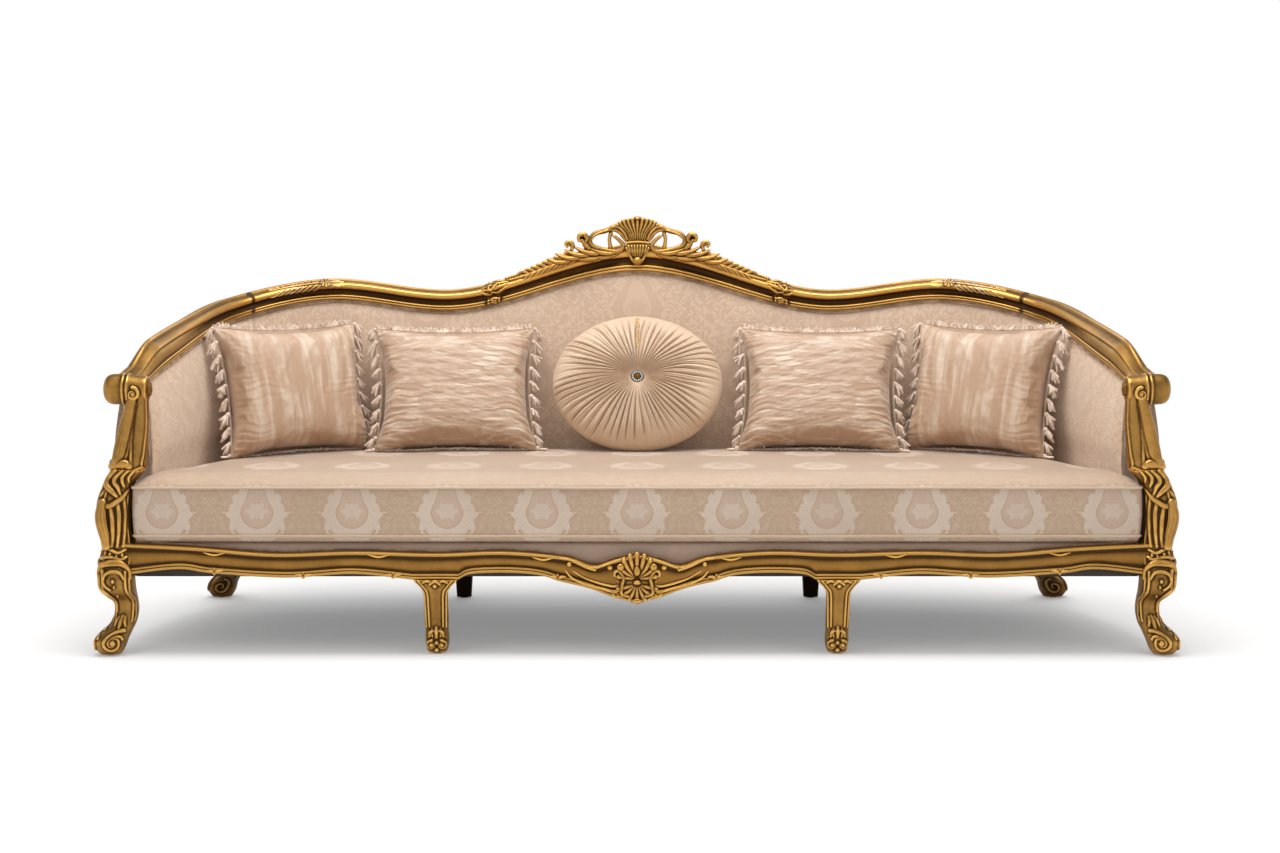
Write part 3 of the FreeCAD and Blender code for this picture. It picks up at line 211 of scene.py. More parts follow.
def plan_at(d):
    d = np.asarray(d, float)
    along = np.abs(d)
    point = [np.interp(along, plan_length, plan[:, k]) for k in (0, 1)]
    ahead = [np.interp(along + 3, plan_length, plan[:, k]) for k in (0, 1)]
    behind = [np.interp(np.abs(along - 3), plan_length, plan[:, k]) for k in (0, 1)]
    behind[0] = np.where(along < 3, -behind[0], behind[0])
    dx = ahead[0] - behind[0]
    dy = ahead[1] - behind[1]
    run = np.hypot(dx, dy)
    side = np.where(d < 0, -1.0, 1.0)
    return point[0] * side, point[1], dx / run, dy / run * side


def station(d, inward, z):
    """Points beside the rail's centre line, in millimetres: d along it, inward towards the seat."""
    x, y, dx, dy = plan_at(d)
    return np.stack(np.broadcast_arrays(x + dy * inward, y - dx * inward, z), axis=-1)


rail_top_curve = smooth_through([0, 550, 860, 1190, 1420, arm_front_d], [1016, 886, 918, 868, 820, 744])
rail_height_curve = smooth_through([0, 550, 1190, arm_front_d], [76, 58, 58, 72])


def rail_top(d):
    return rail_top_curve(np.abs(d))


def rail_bottom(d):
    return rail_top_curve(np.abs(d)) - rail_height_curve(np.abs(d))


def arm_share(d):
    return ease(np.abs(d), 860.0, corner_start_d)


def lean_at(d, z, full):
    """How far inward a face has leaned at height z, from the rail down to the deck."""
    top = rail_bottom(d)
    return lerp(full, arm_lean, arm_share(d)) * (top - z) / (top - deck_top)


def board_inward(d):
    """How far in from the rail's centre line the outer boards of the seat frame stand."""
    return lerp(16.0, -44.0, arm_share(d))


# Mesh helpers

def quads(rows, columns, ring=False, loop=False):
    """The faces of a grid of rows x columns points; ring closes each row, loop joins last row to first."""
    r = np.arange(rows if loop else rows - 1)
    c = np.arange(columns if ring else columns - 1)
    r, c = np.meshgrid(r, c, indexing="ij")
    r2 = (r + 1) % rows
    c2 = (c + 1) % columns
    faces = np.stack([r * columns + c, r * columns + c2, r2 * columns + c2, r2 * columns + c], axis=-1)
    return faces.reshape(-1, 4).tolist()


def swept(rings, loop=False):
    """A closed solid from rings of points: (points, faces)."""
    rows, columns = rings.shape[:2]
    faces = quads(rows, columns, ring=True, loop=loop)
    if not loop:
        faces.append(list(range(columns)))
        faces.append(list(range((rows - 1) * columns, rows * columns))[::-1])
    return rings.reshape(-1, 3), faces


def merged(parts):
    points, faces, start = [], [], 0
    for p, f in parts:
        points.append(p)
        faces += [[i + start for i in face] for face in f]
        start += len(p)
    return np.vstack(points), faces


def mirrored(part):
    points, faces = part
    return points * np.array([-1.0, 1, 1]), [face[::-1] for face in faces]


def tube(path, radius, sides=10, normal=None, flat=1.0):
    """A tube of changing radius along a path, with rounded ends; flat squeezes it along the normals."""
    path = np.asarray(path, float)
    radius = np.broadcast_to(np.asarray(radius, float), (len(path),))
    along = unit(np.gradient(path, axis=0))
    ends = 3
    turn = np.linspace(math.pi / 2, 0, ends + 1)[:-1]
    head = [path[0] - along[0] * radius[0] * math.sin(a) for a in turn]
    tail = [path[-1] + along[-1] * radius[-1] * math.sin(a) for a in turn[::-1]]
    shrink = np.array([max(math.cos(a), 0.05) for a in turn])
    points = np.vstack([head, path, tail])
    radii = np.concatenate([radius[0] * shrink, radius, radius[-1] * shrink[::-1]])
    along = np.vstack([[along[0]] * ends, along, [along[-1]] * ends])
    if normal is None:
        guide = np.array([0.0, 0.0, 1.0]) if abs(along[:, 2]).mean() < 0.7 else np.array([0.0, 1.0, 0.0])
        up = np.broadcast_to(guide, points.shape)
    else:
        normal = np.broadcast_to(np.asarray(normal, float), path.shape)
        up = np.vstack([[normal[0]] * ends, normal, [normal[-1]] * ends])
    across = unit(np.cross(along, up))
    up = unit(np.cross(across, along))
    angle = full_turn(sides)[None, :, None]
    rim = across[:, None] * np.cos(angle) + flat * up[:, None] * np.sin(angle)
    return swept(points[:, None] + radii[:, None, None] * rim)


def ball(centre, radii, rows=8, sides=12):
    angle = np.linspace(0.12, math.pi - 0.12, rows)
    a, t = np.meshgrid(angle, full_turn(sides), indexing="ij")
    rings = np.stack([np.sin(a) * np.cos(t), np.sin(a) * np.sin(t), np.cos(a)], axis=-1)
    return swept(np.asarray(centre, float) + rings * np.asarray(radii, float))


def stroke(surface, path, radius, lift=0.3, flat=0.85, steps=22, sides=10):
    """A carved ridge that follows (u, v) places on a surface. The surface gives points and normals."""
    uv = spline(path, steps)
    r = np.maximum(spline(radius, steps)[:, 0], 0.3)
    points, normals = surface(uv[:, 0], uv[:, 1])
    return tube(points + normals * (lift * r)[:, None], r, sides, normals, flat)


def strokes(surface, ridges, *shape):
    """Carved ridges of one shape from pairs of a path and its radii."""
    return [stroke(surface, path, radius, *shape) for path, radius in ridges]


def ball_on(surface, u, v, out, radii):
    """A ball at a (u, v) place of a surface, its centre raised along the normal."""
    where, normal = surface(np.array([float(u)]), np.array([float(v)]))
    return ball(where[0] + normal[0] * out, radii)


def spiral(centre, start_radius, end_radius, start_angle, turns, count=26):
    """Places on a volute: it winds from its outer radius in to its eye. Angles are in degrees."""
    t = np.linspace(0, 1, count)
    r = start_radius * (end_radius / start_radius) ** t
    a = np.radians(start_angle + 360 * turns * t)
    return np.column_stack([centre[0] + r * np.cos(a), centre[1] + r * np.sin(a)])


def neighbour_mean(values, edges, count, degree):
    total = np.zeros_like(values)
    for k in range(values.shape[1]):
        total[:, k] = np.bincount(edges[:, 0], values[edges[:, 1], k], count)
        total[:, k] += np.bincount(edges[:, 1], values[edges[:, 0], k], count)
    return total / degree[:, None]


def mark_cavities(mesh, rounds):
    """Stores how far each point lies out of or into the surface round it, as 'cavity', about -1 to 1."""
    count = len(mesh.vertices)
    points = np.empty(count * 3, np.float32)
    normals = np.empty(count * 3, np.float32)
    mesh.vertices.foreach_get("co", points)
    mesh.vertex_normals.foreach_get("vector", normals)
    edges = np.empty(len(mesh.edges) * 2, np.int32)
    mesh.edges.foreach_get("vertices", edges)
    edges = edges.reshape(-1, 2)
    points = points.reshape(-1, 3).astype(float)
    degree = np.maximum(np.bincount(edges.ravel(), minlength=count), 1)
    soft = points
    for _ in range(rounds):
        soft = 0.5 * soft + 0.5 * neighbour_mean(soft, edges, count, degree)
    height = ((points - soft) * normals.reshape(-1, 3)).sum(axis=1)[:, None]
    for _ in range(2):
        height = 0.5 * height + 0.5 * neighbour_mean(height, edges, count, degree)
    attribute = mesh.attributes.new("cavity", "FLOAT", "POINT")
    full_cavity = 0.0007
    cavity = np.clip(height[:, 0] / full_cavity, -1.5, 1.5)
    attribute.data.foreach_set("value", cavity.astype(np.float32))


def place(obj, material, body, replaces):
    obj.data.materials.clear()
    obj.data.materials.append(material)
    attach(obj, body)
    if replaces:
        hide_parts(*replaces)
    return obj


def raw_object(name, part):
    points, faces = part
    mesh = bpy.data.meshes.new(name)
    mesh.from_pydata((np.asarray(points) * MM).tolist(), [], faces)
    mesh.update()
    mesh.calc_loop_triangles()
    tri = np.empty(len(mesh.loop_triangles) * 3, np.int32)
    mesh.loop_triangles.foreach_get("vertices", tri)
    corners = (np.asarray(points) * MM)[tri].reshape(-1, 3, 3)
    if (corners[:, 0] * np.cross(corners[:, 1], corners[:, 2])).sum() < 0:
        mesh.flip_normals()
    mesh.shade_smooth()
    obj = bpy.data.objects.new(name, mesh)
    bpy.context.collection.objects.link(obj)
    return obj


def make(name, part, material, body="frame", replaces=(), uv=None, cavity=0,
         crease=None):
    """A piece from (points, faces) in millimetres. uv holds each point's cloth coordinates in metres."""
    obj = raw_object(name, part)
    mesh = obj.data
    if uv is not None:
        layer = mesh.uv_layers.new(name="cloth")
        index = np.empty(len(mesh.loops), np.int32)
        mesh.loops.foreach_get("vertex_index", index)
        layer.data.foreach_set("uv", np.asarray(uv, np.float32)[index].ravel())
    if crease is not None:
        mesh.set_sharp_from_angle(angle=math.radians(crease))
    if cavity:
        mark_cavities(mesh, cavity)
    return place(obj, material, body, replaces)


def baked_mesh(obj, modifiers):
    """Puts modifiers on an object, applies them and leaves the result as its mesh."""
    for kind, settings in modifiers:
        modifier = obj.modifiers.new(kind, kind)
        for key, value in settings.items():
            setattr(modifier, key, value)
    graph = bpy.context.evaluated_depsgraph_get()
    graph.update()
    mesh = bpy.data.meshes.new_from_object(obj.evaluated_get(graph))
    obj.modifiers.clear()
    obj.data = mesh
    return mesh


def carved(name, parts, material, voxel, soften, replaces=()):
    """Joins overlapping solids into one carved piece with softened edges."""
    points, faces = merged(parts)
    obj = raw_object(name, (np.clip(points, carving_low, carving_high), faces))
    remesh = {"mode": "VOXEL", "voxel_size": voxel * MM * 1.0}
    mesh = baked_mesh(obj, [("REMESH", remesh), ("SMOOTH", {"factor": 0.5, "iterations": soften})])
    mesh.name = name
    mesh.shade_smooth()
    mark_cavities(mesh, 12)
    return place(obj, material, "frame", replaces)


def carved_pair(name, node, parts, material, voxel, soften):
    """A carved piece on the right and its mirror image on the left, each in place of its own node."""
    for side, side_parts in (("right", parts), ("left", [mirrored(part) for part in parts])):
        carved(name + "_" + side, side_parts, material, voxel, soften, replaces=[node + "_" + side])


# Material helpers

class Shader:
    """A small builder of node trees."""

    def __init__(self, name):
        self.material = bpy.data.materials.new(name)
        self.material.use_nodes = True
        self.tree = self.material.node_tree
        self.bsdf = self.tree.nodes["Principled BSDF"]

    def add(self, kind, settings=None, **inputs):
        made = self.tree.nodes.new("ShaderNode" + kind)
        for key, value in (settings or {}).items():
            setattr(made, key, value)
        for key, value in inputs.items():
            socket = made.inputs[int(key[1:])] if key[1:].isdigit() else made.inputs[key.replace("_", " ")]
            self.set(socket, value)
        return made

    def set(self, socket, value):
        if isinstance(value, bpy.types.NodeSocket):
            self.tree.links.new(value, socket)
        else:
            socket.default_value = value

    def calc(self, operation, *values):
        made = self.add("Math", {"operation": operation})
        for socket, value in zip(made.inputs, values):
            self.set(socket, value)
        return made.outputs[0]

    def times(self, *values):
        return self.calc("MULTIPLY", *values)

    def plus(self, *values):
        return self.calc("ADD", *values)

    def minus(self, *values):
        return self.calc("SUBTRACT", *values)

    def over(self, *values):
        return self.calc("DIVIDE", *values)

    def power(self, *values):
        return self.calc("POWER", *values)

    def larger(self, *values):
        return self.calc("MAXIMUM", *values)

    def sine(self, value):
        return self.calc("SINE", value)

    def absolute(self, value):
        return self.calc("ABSOLUTE", value)

    def off_middle(self, noise):
        """How far a noise lies from its middle value."""
        return self.absolute(self.minus(noise, 0.5))

    def length(self, first, second):
        return self.calc("SQRT", self.plus(self.power(first, 2.0), self.power(second, 2.0)))

    def cloth(self):
        """The cloth coordinates in metres, and their two parts."""
        uv = self.add("UVMap", {"uv_map": "cloth"}).outputs[0]
        part = self.add("SeparateXYZ", Vector=uv)
        return uv, part.outputs[0], part.outputs[1]

    def weave(self, u, v, pitch):
        """Fine crossing threads."""
        rate = 2 * math.pi / pitch
        return self.times(self.sine(self.times(u, rate)), self.sine(self.times(v, rate)))

    def band(self, value, low, high, to_low=0.0, to_high=1.0):
        made = self.add("MapRange", {"interpolation_type": "SMOOTHSTEP"}, i0=value, i1=low, i2=high,
                        i3=to_low, i4=to_high)
        return made.outputs[0]

    def mix(self, share, first, second):
        made = self.add("Mix", {"data_type": "RGBA"})
        self.set(made.inputs[0], share)
        self.set(made.inputs[6], first)
        self.set(made.inputs[7], second)
        return made.outputs[2]

    def noise(self, vector, scale, detail=4.0, rough=0.55, distortion=0.0):
        made = self.add("TexNoise", Vector=vector, Scale=scale, Detail=detail, Roughness=rough,
                        Distortion=distortion)
        return made.outputs[0]

    def stretched(self, vector, scale):
        return self.add("Mapping", {"vector_type": "POINT"}, Vector=vector, Scale=scale).outputs[0]

    def bump(self, height, distance, strength=1.0, after=None):
        made = self.add("Bump", Height=height, Distance=distance, Strength=strength)
        if after is not None:
            self.set(made.inputs["Normal"], after)
        return made.outputs[0]

    def finish(self, **inputs):
        for key, value in inputs.items():
            self.set(self.bsdf.inputs[key.replace("_", " ")], value)
        return self.material


def rgb(red, green, blue):
    """A colour written as 0-255 values, as linear light."""
    linear = [((c / 255 + 0.055) / 1.055) ** 2.4 if c > 10 else c / 255 / 12.92 for c in (red, green, blue)]
    return (*linear, 1.0)


def tinted(colour, red, green, blue):
    """A colour with its red, green and blue multiplied."""
    return tuple(min(1.0, c * k) for c, k in zip(colour, (red, green, blue))) + (1.0,)


def gilding(name, bright, deep, rough, wear=(0.0, 0.0, 0.0, 1.0), wear_share=0.0):
    """Antique gold leaf: brown patina in the hollows, deepened there as painted shade, a painted highlight
    on the raised points, and fine grain under it.
    """
    s = Shader(name)
    place_in = s.add("TexCoord").outputs["Object"]
    cavity = s.add("Attribute", {"attribute_name": "cavity"}).outputs["Fac"]
    cloud = s.noise(place_in, 9.0, 5.0, 0.6)
    fine = s.noise(place_in, 95.0, 6.0, 0.62)
    grain = s.noise(s.stretched(place_in, (14.0, 120.0, 120.0)), 1.0, 5.0, 0.6)
    level = s.plus(cavity, s.times(s.minus(cloud, 0.5), 0.6))
    level = s.plus(level, s.times(s.minus(fine, 0.5), 0.22))
    share = s.band(level, -0.5, 0.7)
    # The deep colour in the hollows marked by the cavity attribute is partly the brown patina of old
    # gilding and partly painted shade.
    colour = s.mix(share, deep, bright)
    # Painted highlight: the raised points turn paler and brighter than the gold's own colour.
    painted_highlight = s.band(s.plus(cavity, s.times(fine, 0.4)), 0.55, 1.1)
    colour = s.mix(painted_highlight, colour, tinted(bright, 1.28, 1.42, 1.5))
    if wear_share:
        patch = s.band(s.add("TexVoronoi", Vector=place_in, Scale=140.0).outputs[0], 0.25, 0.6, 1.0, 0.0)
        patch = s.times(patch, s.times(s.band(cloud, 0.4, 0.62), wear_share))
        colour = s.mix(patch, colour, wear)
    metal = s.band(s.band(level, -1.0, -0.1), 0.0, 1.0, 0.62, 0.96)
    roughness = s.plus(s.band(share, 0.0, 1.0, rough + 0.22, rough), s.times(grain, 0.1))
    bump = s.bump(fine, 0.0003, 0.25, s.bump(grain, 0.0003, 0.2))
    return s.finish(Base_Color=colour, Metallic=metal, Roughness=roughness, Normal=bump)


def cloth_coordinates(s, pitch):
    """Cloth coordinates in metres, and their distance from the middle of a half-drop tile."""
    uv, u, v = s.cloth()
    column = s.calc("FLOOR", s.plus(s.over(u, pitch[0]), 0.5))
    x = s.absolute(s.minus(u, s.times(column, pitch[0])))
    drop = s.times(s.calc("FLOORED_MODULO", column, 2.0), pitch[2])
    lifted = s.plus(v, drop)
    row = s.calc("FLOOR", s.plus(s.over(lifted, pitch[1]), 0.5))
    y = s.minus(lifted, s.times(row, pitch[1]))
    return uv, u, v, x, y


def damask(name, ground, figure, pitch, scroll, medallion=1.0, pull=0.0):
    """Woven damask: mirrored medallions with lacy borders, and scrolling leaves between them."""
    s = Shader(name)
    uv, u, v, x, y = cloth_coordinates(s, pitch)
    mirrored_place = s.add("CombineXYZ", X=x, Y=y).outputs[0]
    angle = s.calc("ARCTAN2", x, y)
    narrow = s.calc("MULTIPLY_ADD", s.larger(y, 0.0), 8.0, 1.0)
    reach = s.length(s.over(s.times(x, narrow), 0.078), s.over(y, 0.084))
    frill = s.noise(mirrored_place, 75.0, 3.0, 0.6, 0.9)
    lace = s.plus(s.times(s.sine(s.times(angle, 11.0)), 0.05), s.times(s.minus(frill, 0.5), 0.8))
    body = s.band(s.plus(reach, lace), 0.94, 1.02, 1.0, 0.0)
    tip = s.power(s.larger(s.calc("COSINE", angle), 0.0), 7.0)
    onion = s.plus(0.50, s.times(tip, 0.34))
    line = s.band(s.absolute(s.minus(reach, onion)), 0.015, 0.035, 1.0, 0.0)
    inner = s.band(s.minus(onion, reach), 0.0, 0.04)
    filigree = s.band(s.off_middle(s.noise(mirrored_place, 120.0, 2.0, 0.5, 1.6)), 0.02, 0.05)
    texture = s.times(body, s.calc("MULTIPLY_ADD", filigree, 0.45, 0.55))
    texture = s.times(texture, s.minus(1.0, s.times(line, 0.9)))
    crest = s.length(s.over(x, 0.026), s.over(y, 0.022))
    crest = s.plus(crest, s.times(s.sine(s.times(angle, 7.0)), 0.16))
    flower = s.band(crest, 0.86, 1.0, 1.0, 0.0)
    hollow = s.times(inner, s.minus(1.0, s.times(flower, 0.8)))
    texture = s.times(texture, s.minus(1.0, s.times(hollow, 0.6)))
    leaf = s.off_middle(s.noise(mirrored_place, 22.0, 2.0, 0.45, 2.4))
    vine = s.off_middle(s.noise(mirrored_place, 48.0, 1.0, 0.5, 1.5))
    leaves = s.larger(s.band(leaf, 0.045, 0.075, 1.0, 0.0),
                      s.times(s.band(vine, 0.012, 0.03, 1.0, 0.0), 0.6))
    outside = s.band(reach, 1.0, 1.15)
    mask = s.larger(s.times(texture, medallion), s.times(s.times(leaves, outside), scroll))
    stain = s.noise(uv, 3.0, 3.0)
    slub = s.noise(s.stretched(uv, (60.0, 900.0, 1.0)), 1.0, 3.0, 0.6)
    shade = tinted(ground, 0.86, 0.86, 0.86)
    colour = s.mix(mask, ground, figure)
    colour = s.mix(s.times(s.band(stain, 0.35, 0.75), 0.35), colour, shade)
    colour = s.mix(s.times(s.band(slub, 0.45, 0.75), 0.16), colour, shade)
    height = s.plus(s.times(mask, 0.8), s.times(s.weave(u, v, 0.0011), 0.25))
    bump = s.bump(s.plus(height, s.times(slub, 0.3)), 0.00035, 0.55)
    if pull:
        hair = s.noise(s.stretched(uv, (26.0, 120.0, 1.0)), 1.0, 4.0, 0.6, 1.2)
        bump = s.bump(hair, 0.0025 * pull, 0.5, bump)
    return s.finish(Base_Color=colour, Roughness=s.band(mask, 0.0, 1.0, 0.42, 0.58), Normal=bump,
                    Sheen_Weight=0.5, Sheen_Roughness=0.4, Specular_IOR_Level=0.42)


def satin(name, ground, figure, stripe=0.0, moire=0.0):
    """Silky pillow fabric: a soft watered stripe, fine threads, a strong sheen and painted shade in its
    creases.
    """
    s = Shader(name)
    uv, u, v = s.cloth()
    wander = s.noise(s.stretched(uv, (2.0, 1.0, 1.0)), 4.0, 3.0)
    warped = s.plus(u, s.times(s.minus(wander, 0.5), 0.03))
    long_way = s.add("CombineXYZ", X=s.times(warped, 26.0), Y=s.times(v, 1.2)).outputs[0]
    stripes = s.band(s.noise(long_way, 1.0, 3.0, 0.55), 0.44, 0.60)
    cross_way = s.add("CombineXYZ", X=s.times(u, 9.0), Y=s.times(v, 62.0)).outputs[0]
    ripple = s.band(s.noise(cross_way, 1.0, 4.0, 0.6, 1.4), 0.46, 0.58)
    mask = s.larger(s.times(stripes, stripe), s.times(ripple, moire))
    bloom = s.noise(uv, 14.0, 3.0, 0.5, 1.0)
    mask = s.times(mask, s.band(bloom, 0.34, 0.56, 0.25, 1.0))
    slub = s.noise(s.stretched(uv, (900.0, 60.0, 1.0)), 1.0, 3.0, 0.6)
    colour = s.mix(mask, ground, figure)
    colour = s.mix(s.times(s.band(slub, 0.4, 0.75), 0.2), colour, tinted(ground, 0.82, 0.82, 0.82))
    # Painted shade: the colour darkens to a deep brown in the creases and pleats that the cavity attribute
    # marks.
    cavity = s.add("Attribute", {"attribute_name": "cavity"}).outputs["Fac"]
    colour = s.mix(s.band(cavity, -1.4, -0.3, 0.7, 0.0), colour, tinted(ground, 0.42, 0.34, 0.27))
    height = s.plus(s.times(s.weave(u, v, 0.0009), 0.3), s.times(slub, 0.4))
    height = s.plus(height, s.times(mask, 0.4))
    return s.finish(Base_Color=colour, Roughness=s.band(mask, 0.0, 1.0, 0.40, 0.30),
                    Normal=s.bump(height, 0.0003, 0.5), Sheen_Weight=0.45, Sheen_Roughness=0.35,
                    Specular_IOR_Level=0.55)


def yarn(name, light, dark):
    """Twisted trimming yarn."""
    s = Shader(name)
    place_in = s.add("TexCoord").outputs["Object"]
    fuzz = s.noise(place_in, 420.0, 3.0, 0.6)
    tone = s.noise(place_in, 38.0, 3.0)
    colour = s.mix(s.band(tone, 0.35, 0.65), dark, light)
    return s.finish(Base_Color=colour, Roughness=0.72, Normal=s.bump(fuzz, 0.0006, 0.5),
                    Sheen_Weight=0.5, Sheen_Roughness=0.5)


def plain(name, light, dark, scale, rough, metal=0.0, depth=0.0003, stretch=(1.0, 1.0, 1.0)):
    """A simple two-tone surface for what is hidden inside: timber, cloth, steel."""
    s = Shader(name)
    place_in = s.stretched(s.add("TexCoord").outputs["Object"], stretch)
    tone = s.noise(place_in, scale, 5.0, 0.6)
    colour = s.mix(s.band(tone, 0.3, 0.7), dark, light)
    return s.finish(Base_Color=colour, Roughness=rough, Metallic=metal, Normal=s.bump(tone, depth, 0.5))


gold = gilding("gold_leaf", rgb(204, 154, 80), rgb(64, 41, 16), 0.27)
gold_matte = gilding("gold_matte", rgb(172, 126, 62), rgb(70, 46, 18), 0.40)
gold_dark = gilding("gold_in_shade", rgb(120, 84, 38), rgb(24, 14, 6), 0.36)
gold_rubbed = gilding("gold_rubbed", rgb(204, 158, 90), rgb(66, 43, 18), 0.32, rgb(208, 196, 182), 0.8)
black_wood = gilding("ebonised_wood", rgb(42, 26, 14), rgb(10, 7, 4), 0.38)
seat_damask = damask("seat_damask", rgb(180, 152, 126), rgb(206, 188, 171), (0.235, 0.30, 0.0), 0.22)
back_damask = damask("back_damask", rgb(208, 182, 158), rgb(190, 160, 135), (0.30, 0.42, 0.21), 0.75, 0.75)
arm_damask = damask("arm_damask", rgb(216, 190, 165), rgb(200, 171, 145), (0.30, 0.42, 0.21), 0.7, 0.6,
                    pull=1.0)
deck_cloth = damask("deck_cloth", rgb(170, 146, 128), rgb(158, 134, 117), (0.12, 0.10, 0.05), 0.6, 0.3)
stripe_satin = satin("stripe_satin", rgb(182, 149, 122), rgb(206, 184, 162), stripe=1.0)
moire_satin = satin("moire_satin", rgb(178, 146, 120), rgb(203, 181, 159), moire=1.0)
round_satin = satin("round_satin", rgb(206, 177, 148), rgb(218, 196, 172), moire=0.4)
trim_yarn = yarn("trim_yarn", rgb(232, 212, 194), rgb(206, 180, 158))
piping_cloth = plain("piping_cloth", rgb(204, 180, 156), rgb(184, 158, 134), 700.0, 0.55, depth=0.0001)
cord_yarn = yarn("cord_yarn", rgb(218, 194, 170), rgb(182, 154, 130))
gimp_yarn = yarn("gimp_yarn", rgb(196, 164, 128), rgb(142, 108, 74))
timber = plain("beech", rgb(196, 158, 112), rgb(160, 120, 80), 6.0, 0.6, stretch=(1.0, 14.0, 14.0))
stained = plain("stained_beech", rgb(44, 32, 24), rgb(22, 16, 12), 6.0, 0.6, stretch=(1.0, 14.0, 14.0))
jute = plain("jute_webbing", rgb(150, 120, 84), rgb(108, 84, 56), 300.0, 0.9)
cambric = plain("black_cambric", rgb(40, 38, 38), rgb(24, 23, 23), 500.0, 0.95)
steel = plain("zinc_steel", rgb(190, 190, 186), rgb(150, 150, 146), 120.0, 0.35, 1.0)
glide_black = plain("nylon_glide", rgb(40, 38, 36), rgb(26, 25, 24), 200.0, 0.5)


# Floor, world and lamps

def lay_floor():
    """Paper that takes the soft shadow near the sofa and turns plain white farther out."""
    s = Shader("floor_paper")
    place_in = s.add("TexCoord").outputs["Object"]
    tone = s.noise(place_in, 1.4, 2.0)
    s.finish(Base_Color=s.mix(tone, (0.90, 0.90, 0.90, 1.0), (0.93, 0.93, 0.93, 1.0)), Roughness=0.9)
    apart = s.add("SeparateXYZ", Vector=place_in)
    far = s.length(apart.outputs[0], apart.outputs[1])
    ray = s.add("LightPath")
    seen = s.larger(ray.outputs["Is Camera Ray"], ray.outputs["Is Glossy Ray"])
    seen = s.larger(seen, ray.outputs["Is Transmission Ray"])
    white = s.times(seen, s.band(far, 1.75, 3.1, 0.22, 1.0))
    glow = s.add("Emission", Color=(1.0, 1.0, 1.0, 1.0), Strength=1.0)
    blend = s.add("MixShader", i0=white)
    s.set(blend.inputs[1], s.bsdf.outputs[0])
    s.set(blend.inputs[2], glow.outputs[0])
    s.set(s.tree.nodes["Material Output"].inputs["Surface"], blend.outputs[0])
    mesh = bpy.data.meshes.new("floor")
    reach = 40.0
    corners = [(-reach, -reach, 0), (reach, -reach, 0), (reach, reach, 0), (-reach, reach, 0)]
    mesh.from_pydata(corners, [], [(0, 1, 2, 3)])
    mesh.materials.append(s.material)
    floor = bpy.data.objects.new("floor", mesh)
    bpy.context.collection.objects.link(floor)


def light_world():
    """White to the camera and in reflections near the horizon; the light grows from below to above."""
    world = bpy.context.scene.world or bpy.data.worlds.new("world")
    bpy.context.scene.world = world
    world.use_nodes = True
    tree = world.node_tree
    tree.nodes.clear()

    def node(kind, *inputs):
        made = tree.nodes.new("ShaderNode" + kind)
        for k, value in enumerate(inputs):
            if isinstance(value, bpy.types.NodeSocket):
                tree.links.new(value, made.inputs[k])
            elif value is not None:
                made.inputs[k].default_value = value
        return made
    up = node("SeparateXYZ", node("TexCoord").outputs["Generated"]).outputs[2]
    ramp = node("MapRange", up, 0.22, 0.60, 1.0, 0.30)
    ramp.interpolation_type = "SMOOTHSTEP"
    soft = node("MapRange", up, -0.2, 0.9, 0.12, 0.85)
    ray = node("LightPath")
    seen = ray.outputs["Is Camera Ray"]
    for other in ("Is Glossy Ray", "Is Transmission Ray"):
        either = node("Math", seen, ray.outputs[other])
        either.operation = "MAXIMUM"
        seen = either.outputs[0]
    strength = node("Mix", seen, None, soft.outputs[0], ramp.outputs[0]).outputs[0]
    background = node("Background", (1.0, 1.0, 1.0, 1.0), strength)
    node("OutputWorld", background.outputs[0])


def studio():
    lay_floor()
    light_world()
    lamps = (
        ("key", (-2.4, -2.6, 3.4), (0.2, 0.1, 0.5), 2.0, 18.0),
        ("fill", (2.8, -2.8, 2.8), (-0.2, 0.1, 0.5), 2.0, 9.0),
        ("top", (0.0, -0.35, 3.6), (0.0, 0.0, 0.45), 3.2, 118.0),
        ("rim", (0.0, 3.4, 3.0), (0.0, 0.2, 0.7), 2.6, 26.0),
    )
    for name, where, target, size, power in lamps:
        lamp = bpy.data.objects.new(name, bpy.data.lights.new(name, "AREA"))
        lamp.data.shape = "RECTANGLE"
        lamp.data.size = size
        lamp.data.size_y = size * 0.6
        lamp.data.energy = power
        lamp.location = where
        lamp.rotation_euler = (Vector(target) - Vector(where)).to_track_quat("-Z", "Y").to_euler()
        bpy.context.collection.objects.link(lamp)
    bpy.context.scene.view_settings.view_transform = "Standard"


studio()


# The moulded top rail

# The moulding across the rail, as how far inward and which share of the height. The arms' points pair
# with the back's.
back_moulding = [
    (27.0, 0.00), (29.6, 0.025), (30.4, 0.06), (29.4, 0.095), (27.6, 0.11),
    (29.6, 0.13), (31.0, 0.165), (30.2, 0.205), (27.2, 0.225),
    (24.6, 0.25), (22.0, 0.30), (20.6, 0.36), (21.0, 0.42), (23.4, 0.475),
    (25.6, 0.50), (29.4, 0.53), (31.6, 0.60), (32.0, 0.67), (30.2, 0.745), (26.4, 0.80), (21.6, 0.835),
    (18.6, 0.845), (17.0, 0.835), (14.6, 0.855), (11.0, 0.90),
    (8.4, 0.94), (6.6, 0.975), (2.6, 0.998), (-1.6, 0.992), (-4.4, 0.965),
    (-10.0, 0.955), (-18.0, 0.935), (-25.0, 0.885), (-30.0, 0.80), (-32.0, 0.68),
]
